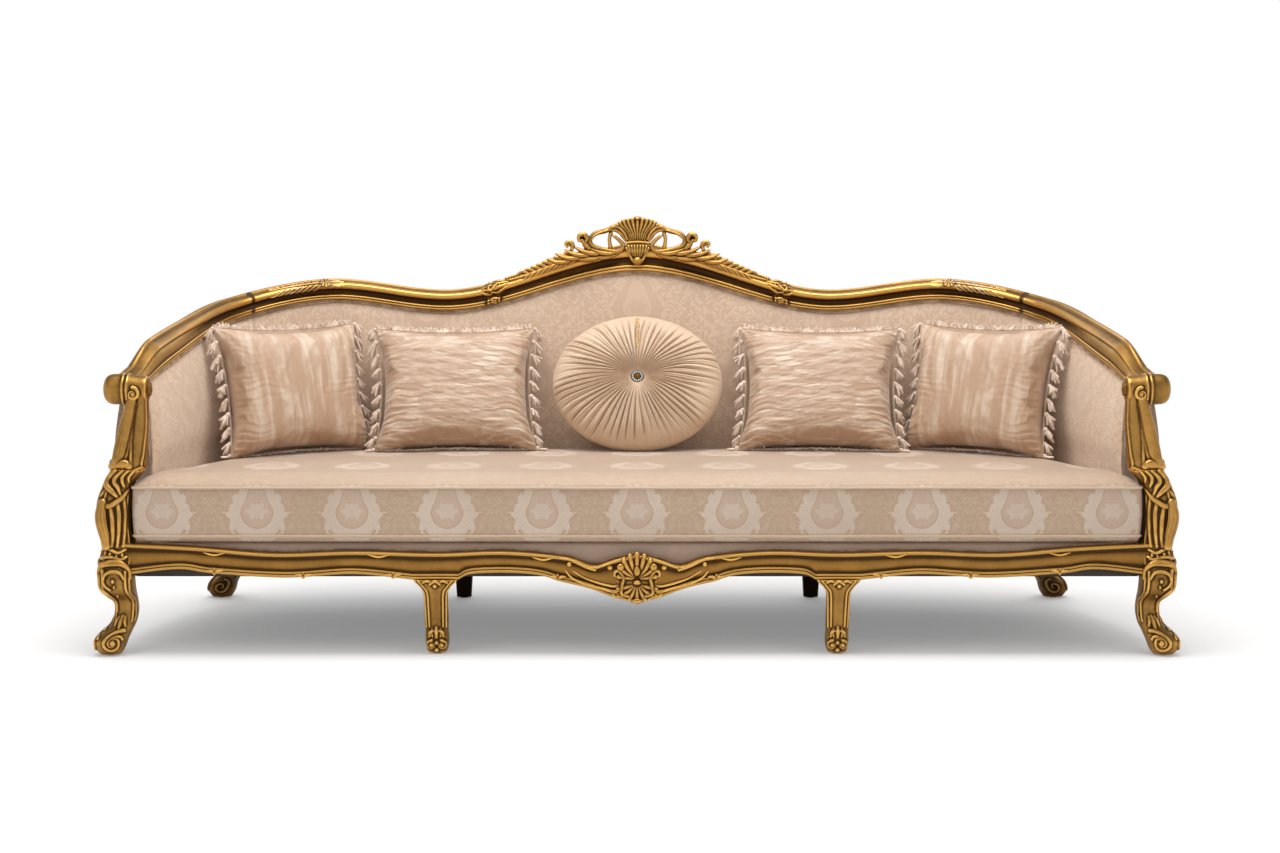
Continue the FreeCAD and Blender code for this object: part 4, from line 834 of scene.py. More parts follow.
arm_moulding = [
    (26.0, 0.00), (29.0, 0.02), (30.2, 0.05), (29.2, 0.085), (27.2, 0.10),
    (29.0, 0.12), (30.6, 0.155), (29.6, 0.195), (26.0, 0.215),
    (25.2, 0.26), (24.0, 0.33), (22.0, 0.41), (19.4, 0.49), (16.4, 0.56),
    (14.0, 0.60), (12.6, 0.635), (12.4, 0.665), (10.4, 0.70), (7.0, 0.735), (3.0, 0.765), (-1.0, 0.79),
    (-4.4, 0.81), (-7.0, 0.825), (-9.4, 0.85), (-11.4, 0.89),
    (-13.0, 0.94), (-15.4, 0.98), (-18.6, 0.998), (-22.0, 0.99), (-24.8, 0.96),
    (-27.4, 0.925), (-29.4, 0.88), (-30.8, 0.82), (-31.6, 0.75), (-32.0, 0.66),
]


def rail_profile(d):
    """The moulding's (inward, height) at distances d: arrays of len(d) x points."""
    share = ease(np.abs(d), 1180.0, corner_start_d + 60.0)[:, None]
    back = np.array(back_moulding)
    arm = np.array(arm_moulding)
    inward = lerp(back[:, 0], arm[:, 0], share)
    height = lerp(back[:, 1], arm[:, 1], share)
    bottom = rail_bottom(d)[:, None]
    thin = 1 - 0.62 * ease(np.abs(d), arm_front_d - 170.0, arm_front_d - 12.0)[:, None]
    return inward, bottom + height * thin * (rail_top(d)[:, None] - bottom)


def dense_profile(values):
    """Adds a point between each two of the moulding's points, on a smooth curve."""
    return np.stack([spline(row, (values.shape[1] - 1) * 2 + 1)[:, 0] for row in values])


def rail_solid(d, grow=0.0):
    """The moulded rail as a solid at distances d; grow swells it by a width at each distance."""
    inward, z = rail_profile(d)
    inward = dense_profile(inward)
    z = dense_profile(z)
    bottom = rail_bottom(d)[:, None]
    height = rail_top(d)[:, None] - bottom
    grow = np.broadcast_to(grow, d.shape)[:, None]
    inward = inward + grow * (inward + rail_half) / (2 * rail_half)
    z = z + grow * (z - bottom) / height
    inward = np.hstack([inward, np.full_like(bottom, -rail_half), np.full_like(bottom, -10.0)])
    z = np.hstack([z, bottom, bottom])
    return swept(station(d[:, None], inward, z))


def rail_surface(d, v):
    """Places on the rail's moulded face: d is the distance and v the share of the moulding's points."""
    d = np.asarray(d, float)
    inward, z = rail_profile(d)
    last = inward.shape[1] - 1
    at = np.clip(v, 0, 1) * last
    k = np.minimum(at.astype(int), last - 1)
    f = at - k
    row = np.arange(len(d))
    a = lerp(inward[row, k], inward[row, k + 1], f)
    h = lerp(z[row, k], z[row, k + 1], f)
    before = np.maximum(k - 1, 0)
    after = np.minimum(k + 2, last)
    da = inward[row, after] - inward[row, before]
    dh = z[row, after] - z[row, before]
    length = np.maximum(np.hypot(da, dh), 1e-6)
    x, y, dx, dy = plan_at(d)
    out = dh / length
    points = np.stack([x + dy * a, y - dx * a, h], axis=-1)
    normals = np.stack([dy * out, -dx * out, -da / length], axis=-1)
    return points, unit(normals)


def rails():
    sections = (
        ("crest_rail_center", -collar_start, collar_start),
        ("crest_rail_right", collar_end, corner_joint),
        ("crest_rail_left", -corner_joint, -collar_end),
        ("arm_rail_right", corner_joint, arm_front_d),
        ("arm_rail_left", -arm_front_d, -corner_joint),
    )
    for node, start, end in sections:
        d = np.linspace(start, end, max(8, int((end - start) / 5.0)))
        make(node + "_moulding", rail_solid(d), gold, replaces=[node], cavity=6, crease=55)


rails()


# Upholstery of the back and arms

def pad_face(d, share, top, low):
    """How far inward the stuffed face lies, from the rail (share 0) to the deck (share 1)."""
    z = lerp(top, low, share)
    crown = pad_crown * np.sin(math.pi * np.clip(share - 0.04, 0, 1) / 0.96) ** 0.8
    return pad_inset + lean_at(d, z, inner_lean) + crown, z


def cloth_panel(d, rings, heights):
    """A closed sheet from columns of points along d, with its cloth coordinates."""
    rings = np.concatenate(rings, axis=1)
    u = np.broadcast_to(d / 1000, rings.shape[:2])
    v = np.concatenate(heights, axis=1) / 1000
    return swept(rings), np.stack([u, v], axis=-1).reshape(-1, 2)


def inside_pad(start, end, puff=0.0, seed=1):
    d = np.linspace(start, end, max(10, int((end - start) / 7.0)))[:, None]
    share = np.linspace(0, 1, 74)[None, :] ** 1.05
    top = rail_bottom(d) - 0.4
    low = np.full_like(top, deck_top + 0.4)
    inward, z = pad_face(d, share, top, low)
    above = ease(z, 455.0, 520.0)
    edge = np.minimum(np.abs(np.abs(d) - max(abs(start), abs(end))) / 60.0, 1.0)
    ripple = wave_noise(d / 1000, z / 1000, seed=seed, octaves=3, base=3.0)
    inward = inward + above * ripple * 1.6
    tuck = np.exp(-share / 0.02) * 3.0
    inward = inward - tuck
    if puff:
        front = np.abs(d)
        pulls = wave_noise((front + 0.35 * (z - 600)) / 1000, (z - 0.3 * (front - 1600)) / 320,
                           seed=seed + 5, octaves=3, base=9.0)
        inward = inward + above * edge * puff * np.sin(math.pi * np.clip(share * 1.25, 0, 1)) ** 0.8
        inward = inward + above * (1 - edge) * pulls * 1.6 + above * pulls * 0.5
        inward = inward - above * (1 - edge) ** 2 * 6.0
    rear = -rail_half + 7.0
    rear_low = rear + lean_at(d, deck_top, outer_lean) + 30.0
    rear_top = rear + lean_at(d, top, outer_lean) + 29.0
    rings = [station(d, inward, z), station(d, rear_low, low), station(d, rear_top, top)]
    return cloth_panel(d, rings, [z, low, top])


def outside_panel(start, end, low_z, bulge):
    d = np.linspace(start, end, max(10, int((end - start) / 10.0)))[:, None]
    share = np.linspace(0, 1, 44)[None, :]
    top = rail_bottom(d) - 0.4
    low = np.full_like(top, low_z)
    z = lerp(top, low, share)
    outer_top = -rail_half + 0.5
    if bulge:
        outer_low = outer_top + lean_at(d, low, outer_lean)
    else:
        outer_low = board_inward(d) - 5.4
    swell = bulge * arm_share(d) * np.sin(math.pi * share)
    ripple = wave_noise(d / 1000, z / 1000, seed=3, octaves=3, base=2.0) * np.sin(math.pi * share)
    inward = lerp(outer_top, outer_low, share) - swell - ripple * 0.9
    rings = [station(d, inward, z), station(d, outer_low + 5.0, low), station(d, outer_top + 5.0, top)]
    return cloth_panel(d, rings, [z, low, top])


def pad_piece(name, node, panel, material):
    part, uv = panel
    piece = make(name, part, material, replaces=[node], uv=uv)


def upholstery():
    back = (-corner_joint, corner_joint)
    pad_piece("inside_back_damask", "inside_back", inside_pad(*back), back_damask)
    for side, name in side_names:
        ends = sorted((side * (corner_joint + 0.3), side * pad_end_d))
        pad_piece("inside_arm_damask_" + name, "inside_arm_" + name, inside_pad(*ends, puff=7.0, seed=11),
                  arm_damask)
        pad_piece("outside_arm_damask_" + name, "outside_arm_" + name, outside_panel(*ends, 268.4, 22.0),
                  arm_damask)
    pad_piece("outside_back_damask", "outside_back", outside_panel(*back, 195.0, 0.0), back_damask)


upholstery()


# The seat cushion

def cushion_outline(count):
    """The cushion's outline from above, as evenly spaced points, and each point's distance along it."""
    end_d = pad_end_d + cushion_gap
    d = np.linspace(-end_d, end_d, 400)
    edge = pad_inset + pad_crown + lerp(inner_lean, -8.0, arm_share(d)) + cushion_gap
    curve = station(d, edge, 0.0)[:, :2]
    front_x = leg_x - leg_width * 0.44 - cushion_gap
    radius = 12.0
    right = np.array([(front_x, curve[-1, 1]), (front_x, cushion_front_y + radius),
                      (front_x - 4, cushion_front_y + 4), (front_x - radius, cushion_front_y)])
    left = right[::-1] * np.array([-1, 1])
    loop = np.vstack([curve, right, left, curve[:1]])
    run = distances(loop)
    at = np.linspace(0, run[-1], count, endpoint=False)
    return along_line(at, run, loop), at


def cushion_spine(outline):
    """For each point of an outline, the nearest place on the seat's middle line."""
    x = np.clip(outline[:, 0], -seat_spine_half, seat_spine_half)
    return np.column_stack([x, np.full(len(outline), seat_spine_y)])


def seat_piping(outline, normal, at):
    """The welts round the cushion's top and bottom edges; normal points in towards the middle."""
    angle = full_turn(10)[None, :, None]
    for name, z, inset in (("top", 420.0, 1.6), ("bottom", 299.5, 2.6)):
        wave = wave_noise(at / 1000, at * 0, seed=31, octaves=2, base=2.0) * 0.6
        path = np.column_stack([outline + normal * inset, z + wave])
        ahead = unit(np.roll(path, -1, axis=0) - np.roll(path, 1, axis=0))
        out = np.column_stack([-normal, np.zeros(len(at))])
        up = np.cross(ahead, out)
        ring = path[:, None] + 3.6 * (out[:, None] * np.cos(angle) + up[:, None] * np.sin(angle))
        make("seat_piping_" + name, swept(ring, loop=True), piping_cloth, body="seat_cushion")


def seat_cushion():
    count = 1000
    outline, at = cushion_outline(count)
    centre = outline - cushion_spine(outline)
    reach = np.linalg.norm(centre, axis=1)
    inward = -unit(centre)
    tangent = np.roll(outline, -2, axis=0) - np.roll(outline, 2, axis=0)
    normal = unit(np.column_stack([tangent[:, 1], -tangent[:, 0]]))
    normal *= np.sign((normal * inward).sum(axis=1))[:, None]
    rings = []
    uv = []
    on_front = ease(-outline[:, 1], 395.0, 420.0)
    pucker = wave_noise(at / 1000, at * 0, seed=21, octaves=3, base=7.0)
    levels = [(cushion_low, 16.0), (cushion_low + 4, 7.5), (cushion_low + 10, 4.0)]
    for t in np.linspace(0, 1, 24):
        levels.append((lerp(302.0, 418.0, t), 3.2 - 3.0 * math.sin(math.pi * t) ** 0.7))
    for z, inset in levels:
        share = np.clip((z - 300) / 120, 0, 1)
        wrinkle = pucker * 0.9 * math.sin(math.pi * share) * (0.4 + 0.6 * on_front)
        wrinkle = wrinkle + wave_noise(at / 1000, at * 0 + z / 1000, seed=5, octaves=3, base=5.0) * 0.7
        ring = outline + normal * (inset - wrinkle)[:, None]
        rings.append(np.column_stack([ring, np.full(count, z)]))
        uv.append(np.column_stack([outline[:, 0] / 1000, np.full(count, (z - 362.0) / 1000)]))
    top_steps = 46
    edge_z = 422.0
    figure_start = 0.074
    for k in range(1, top_steps + 1):
        s = (k / top_steps) ** 1.25
        run = np.minimum(4.0 + s * reach, reach + 1.0)
        ring = outline + inward * run[:, None]
        rise = 1 - np.clip(1 - run / 115.0, 0, 1) ** 2.6
        z = edge_z + (cushion_high - edge_z) * rise
        swell = wave_noise(ring[:, 0] / 1000, ring[:, 1] / 1000, seed=8, octaves=3, base=2.2)
        z = z - swell ** 2 * 2.4 * np.clip(run / 60, 0, 1)
        rings.append(np.column_stack([ring, np.minimum(z, cushion_high)]))
        top_v = (ring[:, 1] - cushion_front_y) / 1000 + figure_start
        uv.append(np.column_stack([ring[:, 0] / 1000, top_v]))
    rings.append(rings[-1] - [0, 0, 6.0])
    uv.append(uv[-1])
    piece = make("seat_cushion_damask", swept(np.array(rings)), seat_damask, body="seat_cushion",
                 replaces=["seat_cushion"], uv=np.array(uv).reshape(-1, 2), crease=62)
    seat_piping(outline, normal, at)


seat_cushion()


# The deck under the cushion, and the braid

def deck():
    d = np.linspace(-pad_end_d, pad_end_d, 260)
    inward = 4.4 + np.maximum(lean_at(d, 235.0, outer_lean), lean_at(d, deck_top, outer_lean))
    curve = station(d, inward, 0.0)[:, :2]
    front_x = leg_x - leg_width * 0.55
    front_y = -396.0
    ends = [[front_x, curve[-1, 1]], [front_x, front_y], [-front_x, front_y], [-front_x, curve[0, 1]]]
    loop = np.vstack([curve, ends, curve[:1]])
    run = distances(loop)
    count = 420
    outline = along_line(np.linspace(0, run[-1], count, endpoint=False), run, loop)
    spine = cushion_spine(outline)
    rings = []
    for z, share in ((238.0, 0.02), (262.0, 0.0), (278.0, 0.004), (282.4, 0.02), (283.3, 0.06),
                     (deck_top, 0.3), (deck_top, 0.65), (deck_top, 0.97)):
        rings.append(np.column_stack([lerp(outline, spine, share), np.full(count, z)]))
    rings = np.array(rings)
    platform = make("deck_platform", swept(rings), deck_cloth, replaces=["seat_deck"],
                    uv=rings[:, :, :2].reshape(-1, 2) / 1000)
    x = np.linspace(-front_x, front_x, count)[:, None]
    profile = np.array([(-398.0, 214.0), (-402.5, 214.5), (-404.6, 222.0), (-406.0, 236.0), (-407.2, 250.0),
                        (-407.4, 262.0), (-406.4, 272.0), (-403.6, 279.0), (-399.4, 282.2), (-394.0, 282.0),
                        (-394.0, 240.0)])
    soft = wave_noise(x / 1000, profile[None, :, 1] / 1000, seed=4, octaves=3, base=4.0) * 0.8
    y = profile[None, :, 0] - soft * (profile[None, :, 0] < -403)
    rings = np.stack(np.broadcast_arrays(x, y, profile[None, :, 1]), axis=-1)
    across = distances(profile)[None, :] / 1000
    uv = np.stack(np.broadcast_arrays(x / 1000, across), axis=-1).reshape(-1, 2)
    make("deck_lip_cloth", swept(rings), deck_cloth, uv=uv)


def bead_row(path, size, normal, slant):
    """Small beads set close together along a path; size is (along, across, out)."""
    path = np.asarray(path, float)
    run = distances(path)
    count = max(2, int(run[-1] / (size[0] * 1.75)))
    at = (np.arange(count) + 0.5) / count * run[-1]
    centre = along_line(at, run, path)
    along = unit(np.gradient(centre, axis=0))
    if np.ndim(normal) > 1:
        normal = along_line(at, run, normal)
    normal = np.broadcast_to(np.asarray(normal, float), centre.shape)
    across = unit(np.cross(normal, along))
    normal = unit(np.cross(along, across))
    along = unit(along + across * slant)
    sides = 7
    angle = np.radians([25.0, 62.0, 90.0, 118.0, 155.0])
    a, t = np.meshgrid(angle, full_turn(sides), indexing="ij")
    shape = (along[:, None, None] * (np.cos(a) * size[0])[None, :, :, None]
             + across[:, None, None] * (np.sin(a) * np.cos(t) * size[1])[None, :, :, None]
             + normal[:, None, None] * (np.sin(a) * np.sin(t) * size[2])[None, :, :, None])
    points = (centre[:, None, None] + shape).reshape(-1, 3)
    rows = len(angle)
    one = quads(rows, sides, ring=True)
    one += [list(range(sides)), list(range((rows - 1) * sides, rows * sides))[::-1]]
    each = rows * sides
    faces = [[i + k * each for i in face] for k in range(count) for face in one]
    return points, faces


def gimp():
    parts = []
    joints = (-pad_end_d, -corner_joint, corner_joint, pad_end_d)
    for k in (1, 2, 0):
        d = np.linspace(joints[k], joints[k + 1], 300)
        _, _, dx, dy = plan_at(d)
        normal = np.column_stack([dy, -dx, np.full_like(dx, -0.25)])
        for drop, slant in ((3.0, 0.7), (8.0, -0.7)):
            path = station(d, 26.6, rail_bottom(d) - drop)
            parts.append(bead_row(path, (2.6, 2.4, 2.2), normal, slant))
    for side in (1, -1):
        share = np.linspace(0.03, 0.62, 60)
        d = np.full(60, side * (pad_end_d - 3.5))
        inward, z = pad_face(d, share, rail_bottom(d) - 0.4, deck_top + 0.4)
        for shift, slant in ((0.0, -0.7), (4.6, 0.7)):
            path = station(d - side * shift, inward + 0.8, z)
            parts.append(bead_row(path, (2.6, 2.3, 2.0), [-side * 0.98, -0.2, 0.0], slant))
    x = np.linspace(-1244.0, 1244.0, 700)
    top = np.interp(np.abs(x), *apron_edge("upper"))
    path = np.column_stack([x, np.full_like(x, -409.6), np.maximum(top + 4.0, 232.0)])
    parts.append(bead_row(path, (2.6, 2.4, 2.0), [0.0, -1.0, 0.0], 0.7))
    make("gimp_beads", merged(parts), gimp_yarn, replaces=["gimp_braid"])


# The shaped front apron

apron_upper = [(0, 254), (60.5, 239.15), (110, 227), (176, 248), (330, 262), (500, 257),
               (700, 262), (900, 257), (1092.5, 272), (1290, 282)]
apron_lower = [
    [(0, 134), (55, 147), (121, 170.72), (192.5, 188)],
    [(192.5, 188), (242, 203), (319, 209), (409.76, 206), (443.6, 192)],
    [(443.6, 192), (556.4, 192)],
    [(556.4, 192), (703.04, 206), (870, 197), (1050, 207.5), (1140, 218), (1290, 201)],
]


def apron_edge(which):
    """The apron's upper or lower edge on the right half, as arrays of x and height."""
    if which == "upper":
        curve = spline(apron_upper, 300)
    else:
        curve = np.vstack([spline(points, 90)[:-1] for points in apron_lower] + [[(1290, 201)]])
    return curve[:, 0], curve[:, 1]


def front_apron():
    x = np.unique(np.concatenate([np.linspace(-1283, 1283, 900), [-192.5, 192.5]]))
    high = np.interp(np.abs(x), *apron_edge("upper"))[:, None]
    low = np.interp(np.abs(x), *apron_edge("lower"))[:, None]
    beads = [
        (0, -408), (0, -420), (0, -429), (0.8, -432.6), (3, -434.6), (5.6, -434.4),
        (7.6, -432.2), (8.4, -430.4), (9.6, -431.8), (11.8, -432.8), (13.8, -431.6), (14.8, -428.6),
        (16.6, -427),
    ]
    crown = [
        (-13, -427.4), (-10, -428), (-8.6, -430), (-6.6, -432.6), (-4, -433.4), (-1.6, -432),
        (0, -428.6), (0, -418), (0, -408), (-4, -404.3),
    ]
    columns = [(low + offset, depth) for offset, depth in beads]
    for share in np.linspace(0.06, 0.94, 9):
        columns.append((lerp(low + 16.6, high - 13, share), -427 - 2.4 * math.sin(math.pi * share)))
    columns += [(high + offset, depth) for offset, depth in crown]
    columns.append((low + 2, -404.3))
    z = np.hstack([height for height, _ in columns])
    y = np.array([depth for _, depth in columns])[None, :]
    rings = np.stack(np.broadcast_arrays(x[:, None], y, z), axis=-1)
    make("front_apron_board", swept(rings), gold_matte, replaces=["front_apron"], cavity=6)


def plane_surface(y, curve=0):
    """A front-facing plane; u is x and v is the height, in millimetres. It may curve back at its sides."""
    def surface(u, v):
        depth = y + curve * (np.asarray(u) / 100) ** 2
        points = np.column_stack([u, depth, v])
        normal = np.column_stack([-2 * curve * np.asarray(u) / 1e4, -np.ones_like(u), np.zeros_like(u)])
        return points, unit(normal)
    return surface


def both_sides(parts):
    return parts + [mirrored(part) for part in parts]


def apron_shell():
    face = plane_surface(apron_front_y - 1)
    hub_z = 178
    border = [(-46, 168), (-52, 200), (-40, 236), (0, 252), (40, 236), (52, 200),
              (46, 168), (30, 146), (0, 131), (-30, 146), (-46, 168)]
    outline = spline(border, 48)[:-1]
    rings = []
    for y, shrink in ((-405, 1), (-430, 1), (-433, 0.9)):
        middle = hub_z + 12
        z = middle + (outline[:, 1] - middle) * shrink
        rings.append(np.column_stack([outline[:, 0] * shrink, np.full(len(outline), y), z]))
    parts = [swept(np.array(rings))]
    for angle in np.radians(np.linspace(8, 172, 9)):
        reach = 62 + 8 * math.sin(angle)
        end = (reach * 0.72 * math.cos(angle), hub_z + 14 + reach * 0.92 * math.sin(angle))
        start = (10 * math.cos(angle), hub_z + 16 + 8 * math.sin(angle))
        middle = (lerp(start[0], end[0], 0.6) * 1.06, lerp(start[1], end[1], 0.55))
        parts.append(stroke(face, [start, middle, end], [2.6, 5.6, 6.6], 0.5, 0.9))
    parts.append(ball((0, -437, 214), (8.5, 6.5, 12)))
    parts.append(ball((0, -438, 186), (10, 7, 6)))
    for angle in np.radians(np.linspace(-160, -20, 7)):
        end = (50 * math.cos(angle), hub_z + 8 + 47 * math.sin(angle))
        start = (12 * math.cos(angle), hub_z + 2 + 8 * math.sin(angle))
        middle = (lerp(start[0], end[0], 0.5), lerp(start[1], end[1], 0.6))
        parts.append(stroke(face, [start, middle, end], [2.4, 4.8, 5.6], 0.5, 0.9))
    parts.append(ball((0, -436, 139), (12, 7, 7.5)))
    halves = [
        stroke(face, [(20, 150), (38, 158), (37, 178), (34, 196), (44, 214),
                      (54, 212), (55, 203), (48, 201)],
               [4, 4.5, 4.6, 4.6, 4.6, 4.2, 3.6, 3], 0.9, 1, 40),
        ball((41, -436, 224), (9.5, 6.5, 9.5)),
        ball((67, -431, 222), (7, 4, 6)),
        stroke(face, [(44, 166), (60, 163), (90, 171), (125, 180), (160, 196),
                      (176, 214)], [5, 4.4, 3.8, 3.4, 3, 2.6], 0.5, 0.9, 40),
        stroke(face, [(46, 177), (62, 176), (92, 183), (128, 196), (158, 214)],
               [3.4, 3.2, 3, 2.6, 2], 0.5, 0.9, 40),
        stroke(face, [(30, 247), (70, 234), (104, 221), (112, 222)],
               [3, 3.4, 3.2, 2.6], 0.4, 0.9),
        stroke(face, [(104, 217), (126, 224), (168, 243), (190, 247)],
               [4, 3.8, 3.4, 2.8], 0.5, 0.9),
        ball((168, -433, 231), (6, 4.5, 6)),
        stroke(face, [(30, 144), (42, 150), (54, 150), (60, 158)],
               [4.5, 4.8, 4.4, 3], 0.5, 0.9),
    ]
    carved("apron_shell_carving", parts + both_sides(halves), gold, 1.3, 2, replaces=["apron_shell"])


def apron_notches():
    """Pinched leaves where the lower beads meet, and scroll ends beside the shell and the legs."""
    face = plane_surface(apron_front_y - 2)
    halves = []
    for x, z in ((1046, 209), (826, 199), (196, 194), (604, 199)):
        for lean in (-1, 1):
            path = [(x, z - 1), (x + 7 * lean, z + 5), (x + 20 * lean, z + 6.5)]
            halves.append(stroke(face, path, [2.4, 4.2, 1.6], 0.7, 0.9, 14))
        halves.append(stroke(face, [(x, z - 2), (x, z + 12)], [3.2, 2.2], 0.9, 0.9, 8))
    for x, z in ((1046, 262), (640, 257), (232, 250)):
        path = [(x - 26, z - 3), (x, z - 8), (x + 26, z - 2)]
        halves.append(stroke(face, path, [1.2, 2.8, 1.2], 0.6, 0.9, 16))
    carved("apron_notches", both_sides(halves), gold, 1.2, 2)


# Legs and posts

front_leg_shape = [
    (0, 0.27, 0.26, 0.30, 0.28), (0.030, 0.28, 0.28, 0.42, 0.40), (0.075, 0.25, 0.26, 0.48, 0.46),
    (0.120, 0.08, 0.16, 0.41, 0.42), (0.165, -0.08, 0.02, 0.35, 0.38), (0.230, -0.16, -0.04, 0.33, 0.36),
    (0.290, -0.14, 0.02, 0.34, 0.38), (0.345, -0.02, 0.22, 0.46, 0.46), (0.400, 0.02, 0.30, 0.50, 0.48),
    (0.480, 0.02, 0.28, 0.49, 0.46), (0.600, 0.03, 0.18, 0.43, 0.42), (0.720, 0.08, 0.18, 0.43, 0.42),
    (0.840, 0.06, 0.16, 0.43, 0.42), (0.920, -0.05, 0.10, 0.41, 0.41), (1, -0.34, 0.06, 0.50, 0.42),
]
arm_post_shape = [
    (0, 0, 0.48, 0.40), (0.10, 0.02, 0.50, 0.42), (0.22, 0.08, 0.46, 0.38), (0.40, 0.14, 0.41, 0.35),
    (0.60, 0.20, 0.37, 0.33), (0.80, 0.26, 0.32, 0.31), (1, 0.33, 0.25, 0.28),
]
middle_leg_shape = [
    (0, 0.38, 0.34, 0.55), (0.08, 0.47, 0.46, 0.55), (0.20, 0.49, 0.48, 0.52), (0.30, 0.47, 0.40, 0.42),
    (0.42, 0.49, 0.36, 0.34), (0.78, 0.49, 0.38, 0.10), (0.90, 0.60, 0.40, 0.02), (1, 0.94, 0.42, 0),
]
rear_leg_shape = [
    (0, 0.44, 0.40, 1), (0.10, 0.62, 0.58, 1), (0.24, 0.62, 0.58, 0.92), (0.42, 0.46, 0.44, 0.62),
    (0.60, 0.44, 0.44, 0.42), (0.78, 0.56, 0.54, 0.30), (1, 0.58, 0.56, 0.12),
]


class Post:
    """A carved post from sections of (height, centre x, centre y, half x, half y)."""

    def __init__(self, sections, power=2.6):
        table = spline(sections, (len(sections) - 1) * 14 + 1)
        self.table = table[np.argsort(table[:, 0])]
        self.power = power

    def at(self, z):
        return [np.interp(z, self.table[:, 0], self.table[:, k]) for k in range(1, 5)]

    def solid(self, rows=150, sides=72, groove=None):
        z = np.linspace(self.table[0, 0], self.table[-1, 0], rows)[:, None]
        cx, cy, hx, hy = self.at(z)
        a = full_turn(sides)[None, :]
        x = np.sign(np.cos(a)) * np.abs(np.cos(a)) ** (2 / self.power)
        y = np.sign(np.sin(a)) * np.abs(np.sin(a)) ** (2 / self.power)
        depth = 0 if groove is None else groove(np.degrees(a), z)
        return swept(np.stack([cx + (hx - depth) * x, cy + (hy - depth) * y, z + 0 * x], axis=-1))

    def face(self, axis="front"):
        """A surface for strokes: u is the offset from the section's centre and v the height."""
        def points_at(u, v):
            cx, cy, hx, hy = self.at(v)
            half, other = (hx, hy) if axis == "front" else (hy, hx)
            share = np.clip(np.abs(u) / half, 0, 0.998)
            depth = other * (1 - share ** self.power) ** (1 / self.power)
            across = np.sign(u) * share * half
            if axis == "front":
                return np.stack([cx + across, cy - depth, v + 0 * u], axis=-1)
            return np.stack([cx + depth, cy + across, v + 0 * u], axis=-1)

        def surface(u, v):
            v = np.asarray(v, float)
            _, _, hx, hy = self.at(v)
            limit = 0.93 * (hx if axis == "front" else hy)
            u = np.clip(u, -limit, limit)
            here = points_at(u, v)
            du = points_at(u + 1, v) - points_at(u - 1, v)
            dv = points_at(u, v + 1.5) - points_at(u, v - 1.5)
            normal = unit(np.cross(du, dv))
            return here, normal
        return surface


def leg_post(shape, low, high, x, y, width):
    """A post from shares of its height and, in widths: outward and forward shift, half side, half front."""
    rows = []
    for share, outward, forward, side, front in shape:
        rows.append((lerp(low, high, share), x + outward * width, y - forward * width,
                     side * width, front * width))
    return Post(rows)


